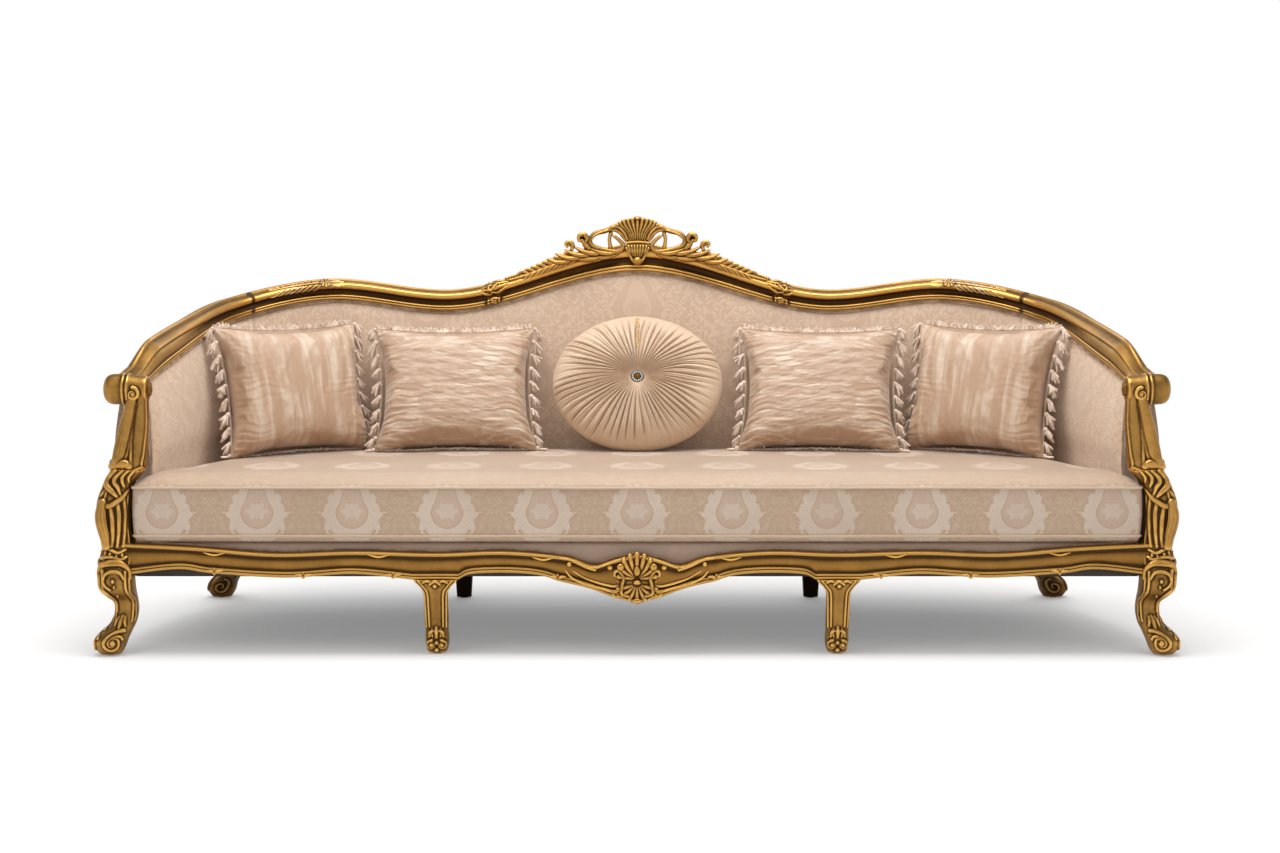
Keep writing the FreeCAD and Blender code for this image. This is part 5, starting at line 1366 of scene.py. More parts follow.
def leg_strokes(face, scale=1):
    """The front leg's carving, as (u, height) ridges on one face; outward is positive."""
    ridges = [
        ([(26, 464), (30, 444), (22, 426), (4, 412), (-10, 400)], [6, 8, 8.5, 7, 4]),
        ([(8, 464), (14, 448), (8, 434), (-6, 422), (-18, 404)], [4, 5.5, 6, 5.5, 3]),
        ([(-6, 464), (-2, 450), (-8, 438), (-20, 424)], [3, 4.4, 4.8, 3]),
        ([(-20, 464), (-18, 448), (-26, 434)], [3, 4, 2.6]),
        ([(38, 424), (36, 398), (26, 380), (8, 376), (-8, 384), (-24, 398), (-32, 416)],
         [4, 6, 7, 7.5, 7, 5.5, 3]),
        ([(22, 384), (24, 350), (20, 310), (17, 276)], [12, 17, 15, 11]),
        ([(32, 400), (34, 370), (33, 330), (29, 290)], [6, 8, 7, 5]),
        ([(2, 372), (-2, 340), (0, 305), (6, 276)], [5, 6.4, 5.6, 4]),
        ([(-14, 386), (-18, 356), (-16, 318), (-8, 276)], [4.4, 5.8, 5.2, 3.6]),
        ([(-26, 400), (-30, 366), (-29, 322), (-22, 276)], [4, 5.2, 4.8, 3.4]),
        ([(-34, 412), (-36, 370), (-35, 320), (-34, 232)], [3, 3.6, 3.2, 3]),
        ([(34, 264), (22, 271), (6, 266), (-10, 260), (-28, 268)], [3, 3.6, 3.6, 3.6, 2.8]),
        ([(34, 244), (18, 250), (0, 247), (-16, 243), (-30, 250)], [3.6, 4.2, 4.4, 4.2, 3]),
        ([(38, 192), (38, 214), (26, 231), (2, 236), (-20, 233), (-34, 218), (-37, 196)],
         [6, 8, 8.5, 8.5, 7.5, 6, 4.5]),
        ([(12, 168), (24, 180), (27, 196), (18, 210), (0, 215), (-16, 210), (-24, 196)],
         [3, 3.8, 4.2, 4.2, 4.2, 3.6, 2.6]),
        ([(38, 194), (36, 174), (25, 156), (19, 134), (19, 108)], [6, 7.5, 7, 5, 3.6]),
        ([(-27, 214), (-27, 180), (-23, 140), (-20, 110), (-22, 84)], [3.4, 3.4, 3.2, 3, 2.6]),
        ([(-35, 200), (-34, 176), (-27, 140), (-25, 110), (-30, 84)], [3, 3.2, 3, 2.8, 2.4]),
        ([(2, 98), (4, 84), (0, 70), (-8, 62)], [3, 4.6, 4, 2.5]),
        ([(-4, 96), (-6, 84), (-12, 74)], [2.5, 4, 2.4]),
        ([(9, 97), (14, 86), (14, 74)], [2.5, 4, 2.4]),
    ]
    scaled = [([(u * scale, v) for u, v in path], radius) for path, radius in ridges]
    parts = strokes(face, scaled, 0.25, 0.8, 26)
    centre = (-13 * scale, 34)
    for start, end, angle, turns, radius in ((30, 8, 100, -1.25, [5.5, 2.6]),
                                             (19, 6, 150, -1, [4, 2.2])):
        parts.append(stroke(face, spiral(centre, start, end, angle, turns), radius, 0.3, 0.8, 44))
    parts.append(ball_on(face, *centre, 3, (6.5, 6.5, 6.5)))
    for x, z, r in ((10, 256, 3.6), (-6, 251, 3), (-20, 254, 3.4), (24, 252, 3), (3, 190, 4), (1, 175, 3),
                    (4, 150, 2.4)):
        parts.append(ball_on(face, x * scale, z, 0.5, (r, r, r * 1.3)))
    return parts


def front_legs():
    post = leg_post(front_leg_shape, foot_low, leg_top, leg_x, leg_y, leg_width)

    def groove(angle, z):
        panel = ease(z, 118, 150) * (1 - ease(z, 196, 212))
        front = np.cos(np.radians(angle + 90)).clip(0, 1) ** 6 + np.cos(np.radians(angle)).clip(0, 1) ** 6
        return 3 * panel * front
    parts = [post.solid(groove=groove)]
    parts += leg_strokes(post.face("front"))
    parts += leg_strokes(post.face("side"), 0.95)
    carved_pair("front_leg_carving", "front_leg", parts, gold, 1.5, 7)


def arm_posts():
    rows = []
    bottom_x = leg_x - 0.34 * leg_width
    y = leg_y - 0.06 * leg_width
    for share, inward, side, front in arm_post_shape:
        rows.append((lerp(leg_top - 1, handhold_z - 8, share), bottom_x - inward * post_width, y,
                     side * post_width, front * post_width))
    post = Post(rows, 2.4)
    ridges = [
        ([(42, 471), (24, 480), (4, 480), (-8, 474)], [9, 12.5, 12, 8]),
        ([(-14, 474), (-8, 492), (-2, 530), (0, 580), (-2, 628)], [3, 3.6, 3.4, 3, 2.6]),
        ([(-36, 464), (-33, 520), (-30, 580), (-22, 640)], [3.4, 3.4, 3.2, 2.6]),
        ([(24, 486), (21, 515), (17, 560), (13, 600), (9, 645)], [15, 18, 17, 15, 12]),
        ([(8, 490), (5, 520), (6, 570), (3, 620)], [6, 7, 6, 5]),
        ([(-40, 464), (-36, 470), (-24, 466)], [3, 4, 3]),
    ]
    side_ridges = [
        ([(-20, 474), (0, 482), (20, 474)], [5, 7, 5]),
        ([(-12, 492), (-10, 560), (-6, 630)], [3, 3, 2.4]),
        ([(14, 492), (12, 560), (8, 630)], [3, 3, 2.4]),
    ]
    parts = [post.solid(90, 64)]
    parts += strokes(post.face("front"), ridges, 0.1, 0.8, 30, 14)
    parts += strokes(post.face("side"), side_ridges, 0.1, 0.8, 24)
    carved_pair("arm_post_carving", "arm_post", parts, gold, 1.5, 7)


def handholds():
    """The roll on the arm's end: banded, with a domed outer end and a small volute eye at its front."""
    profile = [
        (1209, 20), (1210.5, 28), (1214, 31.5), (1230, 33), (1244, 35), (1252, 38),
        (1256, 40.5), (1260, 38.6), (1263, 38), (1267, 40.5), (1271, 38.6), (1275, 37.8),
        (1290, 38), (1300, 37), (1309, 33), (1315, 25), (1318, 14), (1318.8, 5),
    ]
    table = spline(profile, 90)
    x = table[:, :1]
    r = table[:, 1:]
    a = full_turn(72)[None, :]
    rings = np.broadcast_arrays(x, handhold_y + r * np.cos(a), handhold_z + r * np.sin(a))
    parts = [swept(np.stack(rings, axis=-1))]
    d = np.linspace(arm_front_d - 60, arm_front_d + 2, 14)
    inward, z = rail_profile(np.minimum(d, arm_front_d))
    grow = lerp(0.97, 1.07, ease(d, arm_front_d - 60, arm_front_d - 25))[:, None]
    bottom = rail_bottom(np.minimum(d, arm_front_d))[:, None]
    inward = np.hstack([inward, np.full_like(bottom, -rail_half)]) * grow
    z = bottom + (np.hstack([z, bottom]) - bottom) * grow
    parts.append(swept(station(d[:, None], inward, z)))
    eye_x = 1241
    eye_y = handhold_y - 36
    eye_z = handhold_z - 10
    volute = spiral((eye_x, eye_z), 17, 5, 90, 1.3)
    parts.append(stroke(plane_surface(eye_y), volute, [5, 2.4], 0.1, 1, 50))
    parts.append(ball((eye_x, eye_y, eye_z), (4.5, 5, 4.5)))
    carved_pair("handhold_roll", "arm_handhold", parts, gold, 1.4, 3)


def middle_legs():
    width = 60
    rows = []
    for share, side, front, back in middle_leg_shape:
        rows.append((lerp(foot_low, 192, share), middle_x, -417 + back * width,
                     side * width, front * width))
    post = Post(rows, 3)
    face = post.face("front")
    ridges = []
    for side in (-1, 1):
        ridges += [
            ([(52 * side, 190), (38 * side, 178), (27 * side, 160), (25 * side, 120), (24 * side, 70)],
             [3.4, 3.4, 3.4, 3.2, 3]),
            ([(42 * side, 191), (31 * side, 178), (20 * side, 160), (18 * side, 120), (17 * side, 72)],
             [2.8, 2.8, 2.8, 2.6, 2.4]),
            ([(3 * side, 62), (14 * side, 58), (17 * side, 46)], [3, 4.6, 3]),
            ([(12 * side, 187), (20 * side, 191), (30 * side, 186)], [2.4, 3.4, 2.4]),
            (spiral((13 * side, 24), 12, 4, 90, -1.2 * side), [4, 2.2]),
        ]
    ridges += [
        ([(0, 70), (0, 58), (0, 44)], [3, 5.4, 3.4]),
        ([(-10, 66), (-12, 56), (-10, 46)], [2, 3.6, 2]),
        ([(10, 66), (12, 56), (10, 46)], [2, 3.6, 2]),
        ([(-12, 182), (0, 190), (12, 182)], [3, 4.6, 3]),
    ]
    parts = [post.solid(110, 64)] + strokes(face, ridges, 0.25, 0.85, 24)
    for x, z, r in ((0, 178, 6), (13, 24, 5.5), (-13, 24, 5.5), (0, 30, 5), (0, 12, 6)):
        parts.append(ball_on(face, x, z, 1, (r, r, r)))
    side_ridges = [([(u, 180), (u, 120), (u, 64)], [2.6, 2.6, 2.4]) for u in (-14, 14)]
    parts += strokes(post.face("side"), side_ridges, 0.2, 0.8, 20)
    carved_pair("middle_leg_carving", "front_middle_leg", parts, gold, 1.4, 5)


def rear_legs():
    top = 195
    corner_d = 1128
    corner = station(corner_d, float(board_inward(corner_d)) + 22, 0)
    width = 62
    rows = []
    for share, side, front, splay in rear_leg_shape:
        rows.append((lerp(foot_low, top, share), lerp(corner[0], 1200, splay), lerp(corner[1], 388, splay),
                     side * width, front * width))
    post = Post(rows, 2.8)
    parts = [post.solid(110, 64)]
    ridges = [
        ([(24, 186), (22, 130), (20, 90), (28, 62)], [3, 3, 3, 2.4]),
        ([(-24, 186), (-22, 130), (-20, 90), (-28, 62)], [3, 3, 3, 2.4]),
        (spiral((0, 36), 26, 7, 90, 1.3), [4.4, 2.4]),
        ([(28, 176), (10, 188), (-10, 188), (-28, 176)], [3, 3.6, 3.6, 3]),
    ]
    for axis in ("front", "side"):
        parts += strokes(post.face(axis), ridges, 0.25, 0.85, 30)
    carved_pair("rear_leg_carving", "rear_leg", parts, gold_dark, 1.7, 2)
    rows = []
    for share, half in ((0, 0.36), (0.3, 0.42), (0.7, 0.5), (1, 0.52)):
        rows.append((lerp(foot_low, top, share), middle_x, 380, half * 58, half * 43.5))
    block = Post(rows, 5).solid(40, 48)
    for name, part in (("right", block), ("left", mirrored(block))):
        make("rear_middle_leg_block_" + name, part, black_wood,
             replaces=["rear_middle_leg_" + name])


def side_aprons():
    profile = np.array([
        (0, 203), (-1.2, 205), (-4.6, 206.6), (-5.4, 210), (-4.2, 213.4), (-1.4, 214.6),
        (-0.4, 216), (-2.6, 217.6), (-3.4, 220), (-2.4, 222.2), (0.6, 223.4), (2.4, 226),
        (1.8, 236), (1.6, 246), (2.4, 254), (0.4, 257), (-2.8, 258.6), (-3.6, 262),
        (-2.6, 265.6), (0.6, 267.8),
    ])
    for side, name in side_names:
        d = np.linspace(corner_joint, distance_at_y(leg_y + 30), 200)[:, None] * side
        inner = board_inward(d) - 0.6
        outer = inner - 22
        rings = [station(d, outer + profile[None, :, 0], profile[None, :, 1] + 0 * d),
                 station(d, inner, 268 + 0 * d), station(d, inner, 203 + 0 * d)]
        make("side_apron_board_" + name, swept(np.concatenate(rings, axis=1)), gold_matte,
             replaces=["side_apron_" + name], cavity=6)


deck()
gimp()
front_apron()
apron_shell()
apron_notches()
front_legs()
arm_posts()
handholds()
middle_legs()
rear_legs()
side_aprons()


# The crest, its leaf sprays, the collars and the rosettes

def ledge_surface(inward):
    """A front-facing surface over the rail; u is the distance and v the height over the rail's top."""
    def surface(u, v):
        _, _, dx, dy = plan_at(u)
        return station(u, inward, rail_top(u) + v), np.stack([dy, -dx, 0 * dx], axis=-1)
    return surface


def plate(points, front_y, back_y, bevel, count=90):
    """A flat board with a bevelled front, from an outline of (x, z) places."""
    outline = spline(points, count)[:-1]
    middle = outline.mean(axis=0)
    inner = middle + (outline - middle) * (1 - bevel / np.abs(outline - middle).max())
    rings = []
    for places, y in ((outline, back_y), (outline, front_y + bevel), (inner, front_y)):
        rings.append(np.column_stack([places[:, 0], np.full(len(places), y), places[:, 1]]))
    return swept(np.array(rings))


def crest_shell():
    face = plane_surface(386, -4)
    upper_plate = [(-30, 1018), (-50, 1040), (-62, 1066), (-52, 1080), (-26, 1087), (0, 1091), (26, 1087),
                   (52, 1080), (62, 1066), (50, 1040), (30, 1018), (0, 1014), (-30, 1018)]
    lower_plate = [(-32, 1020), (-30, 1000), (-17, 976), (-13, 962), (0, 956), (13, 962), (17, 976),
                   (30, 1000), (32, 1020), (0, 1026), (-32, 1020)]
    parts = [plate(upper_plate, 388, 406, 4), plate(lower_plate, 384, 400, 4)]
    for t in np.linspace(-1, 1, 11):
        end = (62 * math.sin(t * 1.15), 1086 - 17 * abs(t) ** 2.2)
        path = [(22 * t, 1023), (34 * t, 1048), (lerp(34 * t, end[0], 0.7), lerp(1048, end[1], 0.6)), end]
        parts.append(stroke(face, path, [2.2, 3.4, 5, 5.6], 0.5, 0.95, 30))
        parts.append(ball((end[0], 384, end[1]), (6.4, 6, 5.4)))
    parts.append(ball((0, 387, 1088), (14, 9, 6.4)))
    parts.append(ball((0, 381, 1088.5), (8, 6, 4.6)))
    for z, half, r in ((1021, 31, 3.6), (1013.5, 33, 3)):
        parts.append(stroke(face, [(-half, z - 2), (0, z), (half, z - 2)], [r, r], 0.9, 0.9, 20))
    lower = plane_surface(383)
    for t in np.linspace(-1, 1, 7):
        path = [(25 * t, 1009), (22 * t, 996), (15 * t, 980 + 3 * abs(t))]
        parts.append(stroke(lower, path, [3.6, 4.8, 2.4], 0.5, 0.9, 18))
    parts.append(ball((0, 380, 968), (13, 7, 11)))
    parts.append(ball((0, 376, 970), (6, 4, 6)))
    halves = [
        stroke(lower, [(31, 1004), (22, 984), (13, 968), (4, 957)], [3.6, 4.2, 3.8, 2.4], 0.5, 0.9, 24),
        stroke(face, [(50, 1070), (66, 1064), (91, 1053), (118, 1046), (134, 1030), (131, 1013),
                      (110, 1003), (84, 996), (60, 993), (46, 1000), (41, 1013), (52, 1027), (66, 1038)],
               [6.4, 7.6, 7.4, 7.4, 7.2, 7.6, 7.8, 8, 8, 7.4, 6.6, 5.6, 4.6], 0, 1, 90, 12),
        stroke(face, [(74, 1057), (100, 1050), (122, 1040), (130, 1026)], [2.2, 3, 2.8, 2], 2.6, 0.9, 30),
        stroke(face, [(88, 1056), (62, 1055), (44, 1043), (34, 1026)], [5, 6, 5.6, 4.4], 0.3, 1, 30),
        stroke(face, [(72, 1064), (54, 1062), (38, 1048), (30, 1030)], [4.2, 5, 4.8, 4], 0.8, 1, 30),
        stroke(face, [(76, 1046), (80, 1028), (76, 1000)], [6.4, 5.4, 6.8], -0.9, 1.3, 20),
        stroke(face, [(150, 1016), (143, 1030), (152, 1043), (165, 1038), (165, 1026), (156, 1026)],
               [6.4, 7.4, 7.4, 6.6, 5.4, 4.4], 0.1, 1.1, 40),
        stroke(face, [(138, 1004), (146, 1012), (152, 1020)], [9, 9.4, 7], 0, 1.1, 16),
        stroke(face, [(186, 1002), (184, 1014), (193, 1022), (203, 1016), (199, 1008)],
               [6, 6.8, 6.4, 5.2, 4], 0.1, 1.1, 30),
        ball((156, 383, 1033), (6, 5, 6)),
        ball((194, 384, 1013), (4.6, 4.2, 4.6)),
    ]
    leaves = (
        ((52, 993), (84, 988), (116, 994), (146, 1010), 9),
        ((92, 991), (122, 988), (150, 993), (178, 1007), 9.5),
        ((118, 987), (148, 983), (178, 986), (206, 1000), 9),
        ((56, 985), (84, 979), (110, 977), (138, 982), 7.5),
        ((96, 981), (130, 973), (162, 973), (194, 982), 8.5),
        ((140, 985), (176, 975), (204, 976), (232, 988), 8.5),
        ((168, 978), (200, 966), (228, 964), (256, 974), 7.5),
    )
    for *path, r in leaves:
        halves.append(stroke(face, path, [r * 0.4, r, r * 0.9, r * 0.3], 0.1, 1.2, 26))
        vein = [(x, z + r * 0.1) for x, z in path]
        halves.append(stroke(face, vein, [1, 1.8, 1.6, 0.8], 1.1 * r / 1.8, 0.9, 26))
    carved("crest_shell_carving", parts + both_sides(halves), gold, 1.25, 2, replaces=["crest_shell"])


def veined_leaf(surface, path, radius, shape, shifts, vein_radius, vein_lift):
    """A leaf along a path with thin veins above it, each shifted across the path."""
    parts = [stroke(surface, path, radius, *shape, 26)]
    for shift in shifts:
        vein = [(u, v + shift) for u, v in path]
        parts.append(stroke(surface, vein, vein_radius, vein_lift, 0.9, 26))
    return parts


def crest_sprays():
    front = ledge_surface(27)
    upper = ledge_surface(12)
    d = np.linspace(188, 372, 60)
    strip = station(d, 10, rail_top(d) - 5)
    parts = [tube(strip, np.linspace(12, 5, 60), 12)]
    for k in range(9):
        start = 178 + k * 17.5
        size = 1 - 0.055 * k
        rise = 15 * size ** 1.5
        path = [(start - 26, -16), (start - 4, -5), (start + 20 * size, rise * 0.8),
                (start + 44 * size, rise * 0.55)]
        parts += veined_leaf(upper, path, [3.4 * size, 8.6 * size, 7.4 * size, 2], (0.1, 1.2),
                             [-3.2 * size, 0.4 * size, 3.8 * size], [0.9, 1.9, 1.6, 0.8], 4.4 * size)
        path = [(start - 26, -6), (start - 4, -12), (start + 18 * size, -20), (start + 38 * size, -23)]
        parts += veined_leaf(front, path, [3 * size, 7.4 * size, 6 * size, 1.6], (0.2, 1),
                             [-2.6 * size, 1.6 * size], [0.9, 1.8, 1.5, 0.8], 4.4 * size)
    stem = [(165, -6), (230, -12), (300, -10), (366, -6)]
    parts.append(stroke(front, stem, [4.4, 4.6, 3.6, 2], 0.4, 1, 60))
    for k in range(7):
        start = 322 + 7.5 * k
        tip = [(start, -8), (start + 6, 1.5), (start + 13, 0.5)]
        parts.append(stroke(upper, tip, [2, 3.4, 1.2], 0.3, 1, 14))
    carved_pair("crest_spray_carving", "crest_spray", parts, gold, 1.3, 2)


def collars():
    d = np.linspace(collar_start + 0.5, collar_end - 0.5, 40)
    t = (d - d[0]) / (d[-1] - d[0])
    grow = 2 + 2.6 * (np.exp(-((t - 0.08) / 0.07) ** 2) + np.exp(-((t - 0.92) / 0.07) ** 2)
                        + 0.9 * np.exp(-((t - 0.5) / 0.16) ** 2))
    face = rail_surface
    parts = [rail_solid(d, grow)]
    for v in np.linspace(0.05, 0.72, 13):
        parts.append(stroke(face, [(404, v), (416, v + 0.02)], [2.6, 2.6], 1.4, 0.9, 8))
    for k, v in enumerate(np.linspace(0.34, 0.74, 6)):
        reach = 34 + 10 * math.sin(math.pi * k / 5)
        path = [(412, v), (398, v + 0.01), (412 - reach, lerp(v, 0.62, 0.35))]
        parts.append(stroke(face, path, [3, 5.2, 1.6], 0.5, 0.9, 20))
        path = [(410, v), (422, v), (410 + reach * 0.8, lerp(v, 0.6, 0.3))]
        parts.append(stroke(face, path, [3, 4.8, 1.4], 0.5, 0.9, 20))
    for v in (0.1, 0.2, 0.28):
        parts.append(stroke(face, [(396, v), (410, v + 0.01), (424, v)], [2.4, 4.6, 2.4], 0.6, 0.9, 18))
    carved_pair("rail_collar_carving", "rail_collar", parts, gold, 1.25, 2)


def rosettes():
    face = rail_surface
    parts = []
    hub, normal = face(np.array([892]), np.array([0.55]))
    hub, normal = hub[0], normal[0]
    along = unit(station(894, 0, rail_top(894)) - station(890, 0, rail_top(890)))
    across = unit(np.cross(normal, along))
    for ring, count, petal, lift in ((12, 8, 6.2, 1.5), (6.4, 6, 4.4, 4)):
        for k in range(count):
            a = 2 * math.pi * (k + 0.5 * (ring < 8)) / count
            centre = hub + ring * (along * math.cos(a) + across * math.sin(a)) + normal * lift
            parts.append(ball(centre, (petal, petal, petal * 0.9)))
    parts.append(ball(hub + normal * 6, (4, 4, 4)))
    parts.append(ball(hub - normal * 3, (15, 9, 11)))
    for k in range(8):
        start = 900 + k * 17
        size = 1 - 0.07 * k
        for low, high in ((0.50, 0.44), (0.60, 0.69)):
            path = [(start - 10, lerp(low, 0.56, 0.5)), (start + 8, low), (start + 26, high),
                    (start + 40, high)]
            parts.append(stroke(face, path, [1.8, 4.8 * size, 4 * size, 1.2], 0.35, 0.9, 22))
    parts.append(stroke(face, [(900, 0.56), (960, 0.56), (1062, 0.60)], [4, 3.4, 1.2], 0.6, 0.9, 50))
    for k in range(3):
        for v in (0.48, 0.56, 0.66):
            path = [(884, 0.55), (874 - 6 * k, v), (862 - 12 * k, lerp(v, 0.57, 0.3))]
            parts.append(stroke(face, path, [2.4, 4.2, 1.2], 0.35, 0.9, 18))
    carved_pair("rail_rosette_carving", "rail_rosette", parts, gold_rubbed, 1.1, 1)


crest_shell()
crest_sprays()
collars()
rosettes()


# Throw pillows

def mesh_part(mesh):
    """A mesh as (points in millimetres, faces)."""
    points = np.empty(len(mesh.vertices) * 3, np.float32)
    mesh.vertices.foreach_get("co", points)
    return points.reshape(-1, 3).astype(float) / MM, [list(face.vertices) for face in mesh.polygons]


def swollen(part, cap=12.0):
    """Swells a closed cushion with a cloth simulation, remeshed and smoothed, as (points, faces)."""
    obj = raw_object("swelling", part)
    start, _ = mesh_part(baked_mesh(obj, [("REMESH", {"mode": "VOXEL", "voxel_size": 6.0 * MM})]))
    cloth = obj.modifiers.new("swell", "CLOTH")
    settings = cloth.settings
    settings.quality = 6
    settings.mass = 0.25
    settings.tension_stiffness = 12
    settings.compression_stiffness = 8
    settings.shear_stiffness = 4
    settings.bending_stiffness = 0.12
    settings.shrink_min = -0.05
    settings.use_pressure = True
    settings.uniform_pressure_force = 4.0
    settings.effector_weights.gravity = 0.0
    cloth.point_cache.frame_start = 1
    cloth.point_cache.frame_end = 20
    for step in range(1, 21):
        bpy.context.scene.frame_set(step)
    graph = bpy.context.evaluated_depsgraph_get()
    moved, _ = mesh_part(obj.evaluated_get(graph).to_mesh())
    obj.modifiers.clear()
    bpy.context.scene.frame_set(1)
    move = moved - start
    length = np.linalg.norm(move, axis=1, keepdims=True)
    move *= np.minimum(1.0, cap / np.maximum(length, 1e-6))
    obj.data.vertices.foreach_set("co", ((start + move) * MM).astype(np.float32).ravel())
    smoothing = [("SUBSURF", {"levels": 1}), ("SMOOTH", {"factor": 0.4, "iterations": 2})]
    result = mesh_part(baked_mesh(obj, smoothing))
    bpy.data.objects.remove(obj)
    return result


def pillow_places(s, t, width, height, pinch=0.07):
    """A square pillow's outline drawn in between its corners: s and t run from -1 to 1."""
    x = s * width / 2 * (1 - pinch * (1 - np.abs(t) ** 1.8))
    z = t * height / 2 * (1 - pinch * (1 - np.abs(s) ** 1.8))
    return x, z


def pillow_blank(width, height, thickness):
    a = full_turn(200)
    reach = np.maximum(np.abs(np.cos(a)), np.abs(np.sin(a)))
    rings = []
    steps = [math.sin(k / 30 * math.pi / 2) for k in range(1, 31)]
    for side, row in ((-1, steps), (1, steps[-2::-1])):
        for r in row:
            square = lerp(1.0, 1 / reach, r ** 1.5)
            s = np.clip(r * np.cos(a) * square, -1, 1)
            t = np.clip(r * np.sin(a) * square, -1, 1)
            x, z = pillow_places(s, t, width, height)
            dome = np.maximum((1 - np.abs(s) ** 3.2) * (1 - np.abs(t) ** 3.2), 0) ** 0.52
            rings.append(np.column_stack([x, side * (thickness / 2 * dome + 1.2), z]))
    return swept(np.array(rings))


def gathered(points, width, height, seed, sides, folds):
    """Gathers along the side seams, puckers at the corners and soft folds, moved along the depth."""
    x, y, z = points.T
    s = np.clip(np.abs(x) / (width / 2), 0, 1)
    t = np.clip(np.abs(z) / (height / 2), 0, 1)
    facing = np.tanh(y / 12.0)
    to_side = (1 - s) * width / 2
    to_end = (1 - t) * height / 2
    warp = wave_noise(x / 1000, z / 1000, seed=seed, octaves=2, base=5.0)
    pleat = np.sin(2 * math.pi * (z / 19.0 + 0.9 * warp))
    pleat = pleat + 0.5 * np.sin(2 * math.pi * (z / 10.5 + 1.3 * warp))
    reach = 44.0 + 30.0 * wave_noise(z / 1000, z * 0 + seed, seed=seed + 1, octaves=2, base=6.0)
    low = 0.65 + 0.35 * np.clip(-z / (height / 2), -1, 1)
    move = sides * pleat * np.exp(-to_side / np.maximum(reach, 14.0)) * low * 3.2
    top = np.sin(2 * math.pi * (x / 24.0 + 0.8 * warp))
    move += 1.6 * top * np.exp(-to_end / 22.0)
    corner = np.hypot(to_side, to_end)
    turn = np.arctan2(to_side, to_end)
    move += 4.6 * np.sin(turn * 11 + 5 * warp) * np.exp(-corner / 42.0) * np.clip(corner / 30, 0, 1)
    depth, wide, high = folds
    move += depth * wave_noise(x / 1000 * wide, z / 1000 * high, seed=seed + 2, octaves=3, base=1.0)
    seam = np.clip(np.minimum(to_side, to_end) / 9.0, 0, 1)
    return np.column_stack([x, y + facing * move * seam, z])


def leaned(points, lean, turn, x, y, lift):
    lean, turn = math.radians(lean), math.radians(turn)
    px, py, pz = np.moveaxis(np.asarray(points, float), -1, 0)
    back = py * math.cos(lean) + pz * math.sin(lean)
    high = -py * math.sin(lean) + pz * math.cos(lean)
    return np.stack([px * math.cos(turn) - back * math.sin(turn) + x,
                     px * math.sin(turn) + back * math.cos(turn) + y, high + lift], axis=-1)


def strand(start, reach, drop, rng, floor_z, thick):
    """One soft yarn end that leaves the seam and hangs."""
    t = np.linspace(0, 1, 6)[:, None]
    sway = rng.normal(size=3) * 2.2
    path = start + reach * t + np.array([0, 0, -1.0]) * drop * t ** 1.6 + sway * t ** 2
    path[:, 2] = np.maximum(path[:, 2], floor_z + thick + 0.2)
    path[:, 2] += np.linspace(0, 0.01, 6)
    return tube(path, np.linspace(thick, thick * 0.75, 6), 5)


def pillow_trim(width, height, place_at, seed):
    """Twisted cord round the seam, tufts down the sides and a short brush along the other edges."""
    rng = np.random.default_rng(seed)
    t = np.linspace(-1, 1, 120)
    edges = []
    for s, along in ((1, t), (-1, -t)):
        edges.append(pillow_places(np.full(120, s), along, width, height))
        edges.append(pillow_places(-s * t, np.full(120, s), width, height))
    loop = place_at(np.vstack([np.column_stack([x, np.full(120, -1.5), z]) for x, z in edges]))
    loop[:, 2] = np.maximum(loop[:, 2], pillow_rest + 2.8)
    origin, facing, across, up = place_at(np.array([[0, 0, 0], [0, -1.0, 0], [1.0, 0, 0], [0, 0, 1.0]]))
    facing, across, up = facing - origin, across - origin, up - origin
    cord = bead_row(loop, (3.4, 2.5, 2.5), facing, 0.9)
    tufts = []
    for s in (-1, 1):
        places = np.linspace(-0.985, 0.985, tufts_per_side)
        x, z = pillow_places(np.full(tufts_per_side, s), places, width, height)
        for k in range(tufts_per_side):
            root = place_at(np.array([[x[k] + s * 1.5, 0.0, z[k]]]))[0]
            root[2] = max(root[2], pillow_rest + 5.5)
            size = rng.uniform(0.8, 1.15)
            corner = 1.15 if k in (0, tufts_per_side - 1) else 1.0
            knot = root + across * s * 3.5
            tufts.append(ball(knot, (6.4 * size, 6.4 * size, 6.8 * size), 6, 8))
            for _ in range(strands_per_tuft):
                spread = across * s * rng.uniform(6, 22) + facing * rng.uniform(-6, 7)
                spread = spread + up * rng.uniform(-3, 5)
                drop = rng.uniform(14, 32) * size * corner
                tufts.append(strand(knot, spread * size, drop, rng, pillow_rest, rng.uniform(2.4, 3.6)))
    for s in (-1, 1):
        count = int(width / 2.6)
        places = np.linspace(-0.97, 0.97, count)
        x, z = pillow_places(places, np.full(count, s), width, height)
        for k in range(count):
            root = place_at(np.array([[x[k], 0.0, z[k] + s * 1.0]]))[0]
            root[2] = max(root[2], pillow_rest + 2.4)
            lean_out = up * s * rng.uniform(8.0, 14.0)
            lean_out = lean_out + facing * rng.uniform(-6, 7) + across * rng.uniform(-3, 3)
            if s < 0:
                lean_out = facing * rng.uniform(3, 9) + across * rng.uniform(-3, 3)
            drop = rng.uniform(0, 3.5)
            tufts.append(strand(root, lean_out, drop, rng, pillow_rest, rng.uniform(1.7, 2.5)))
    return cord, merged(tufts)


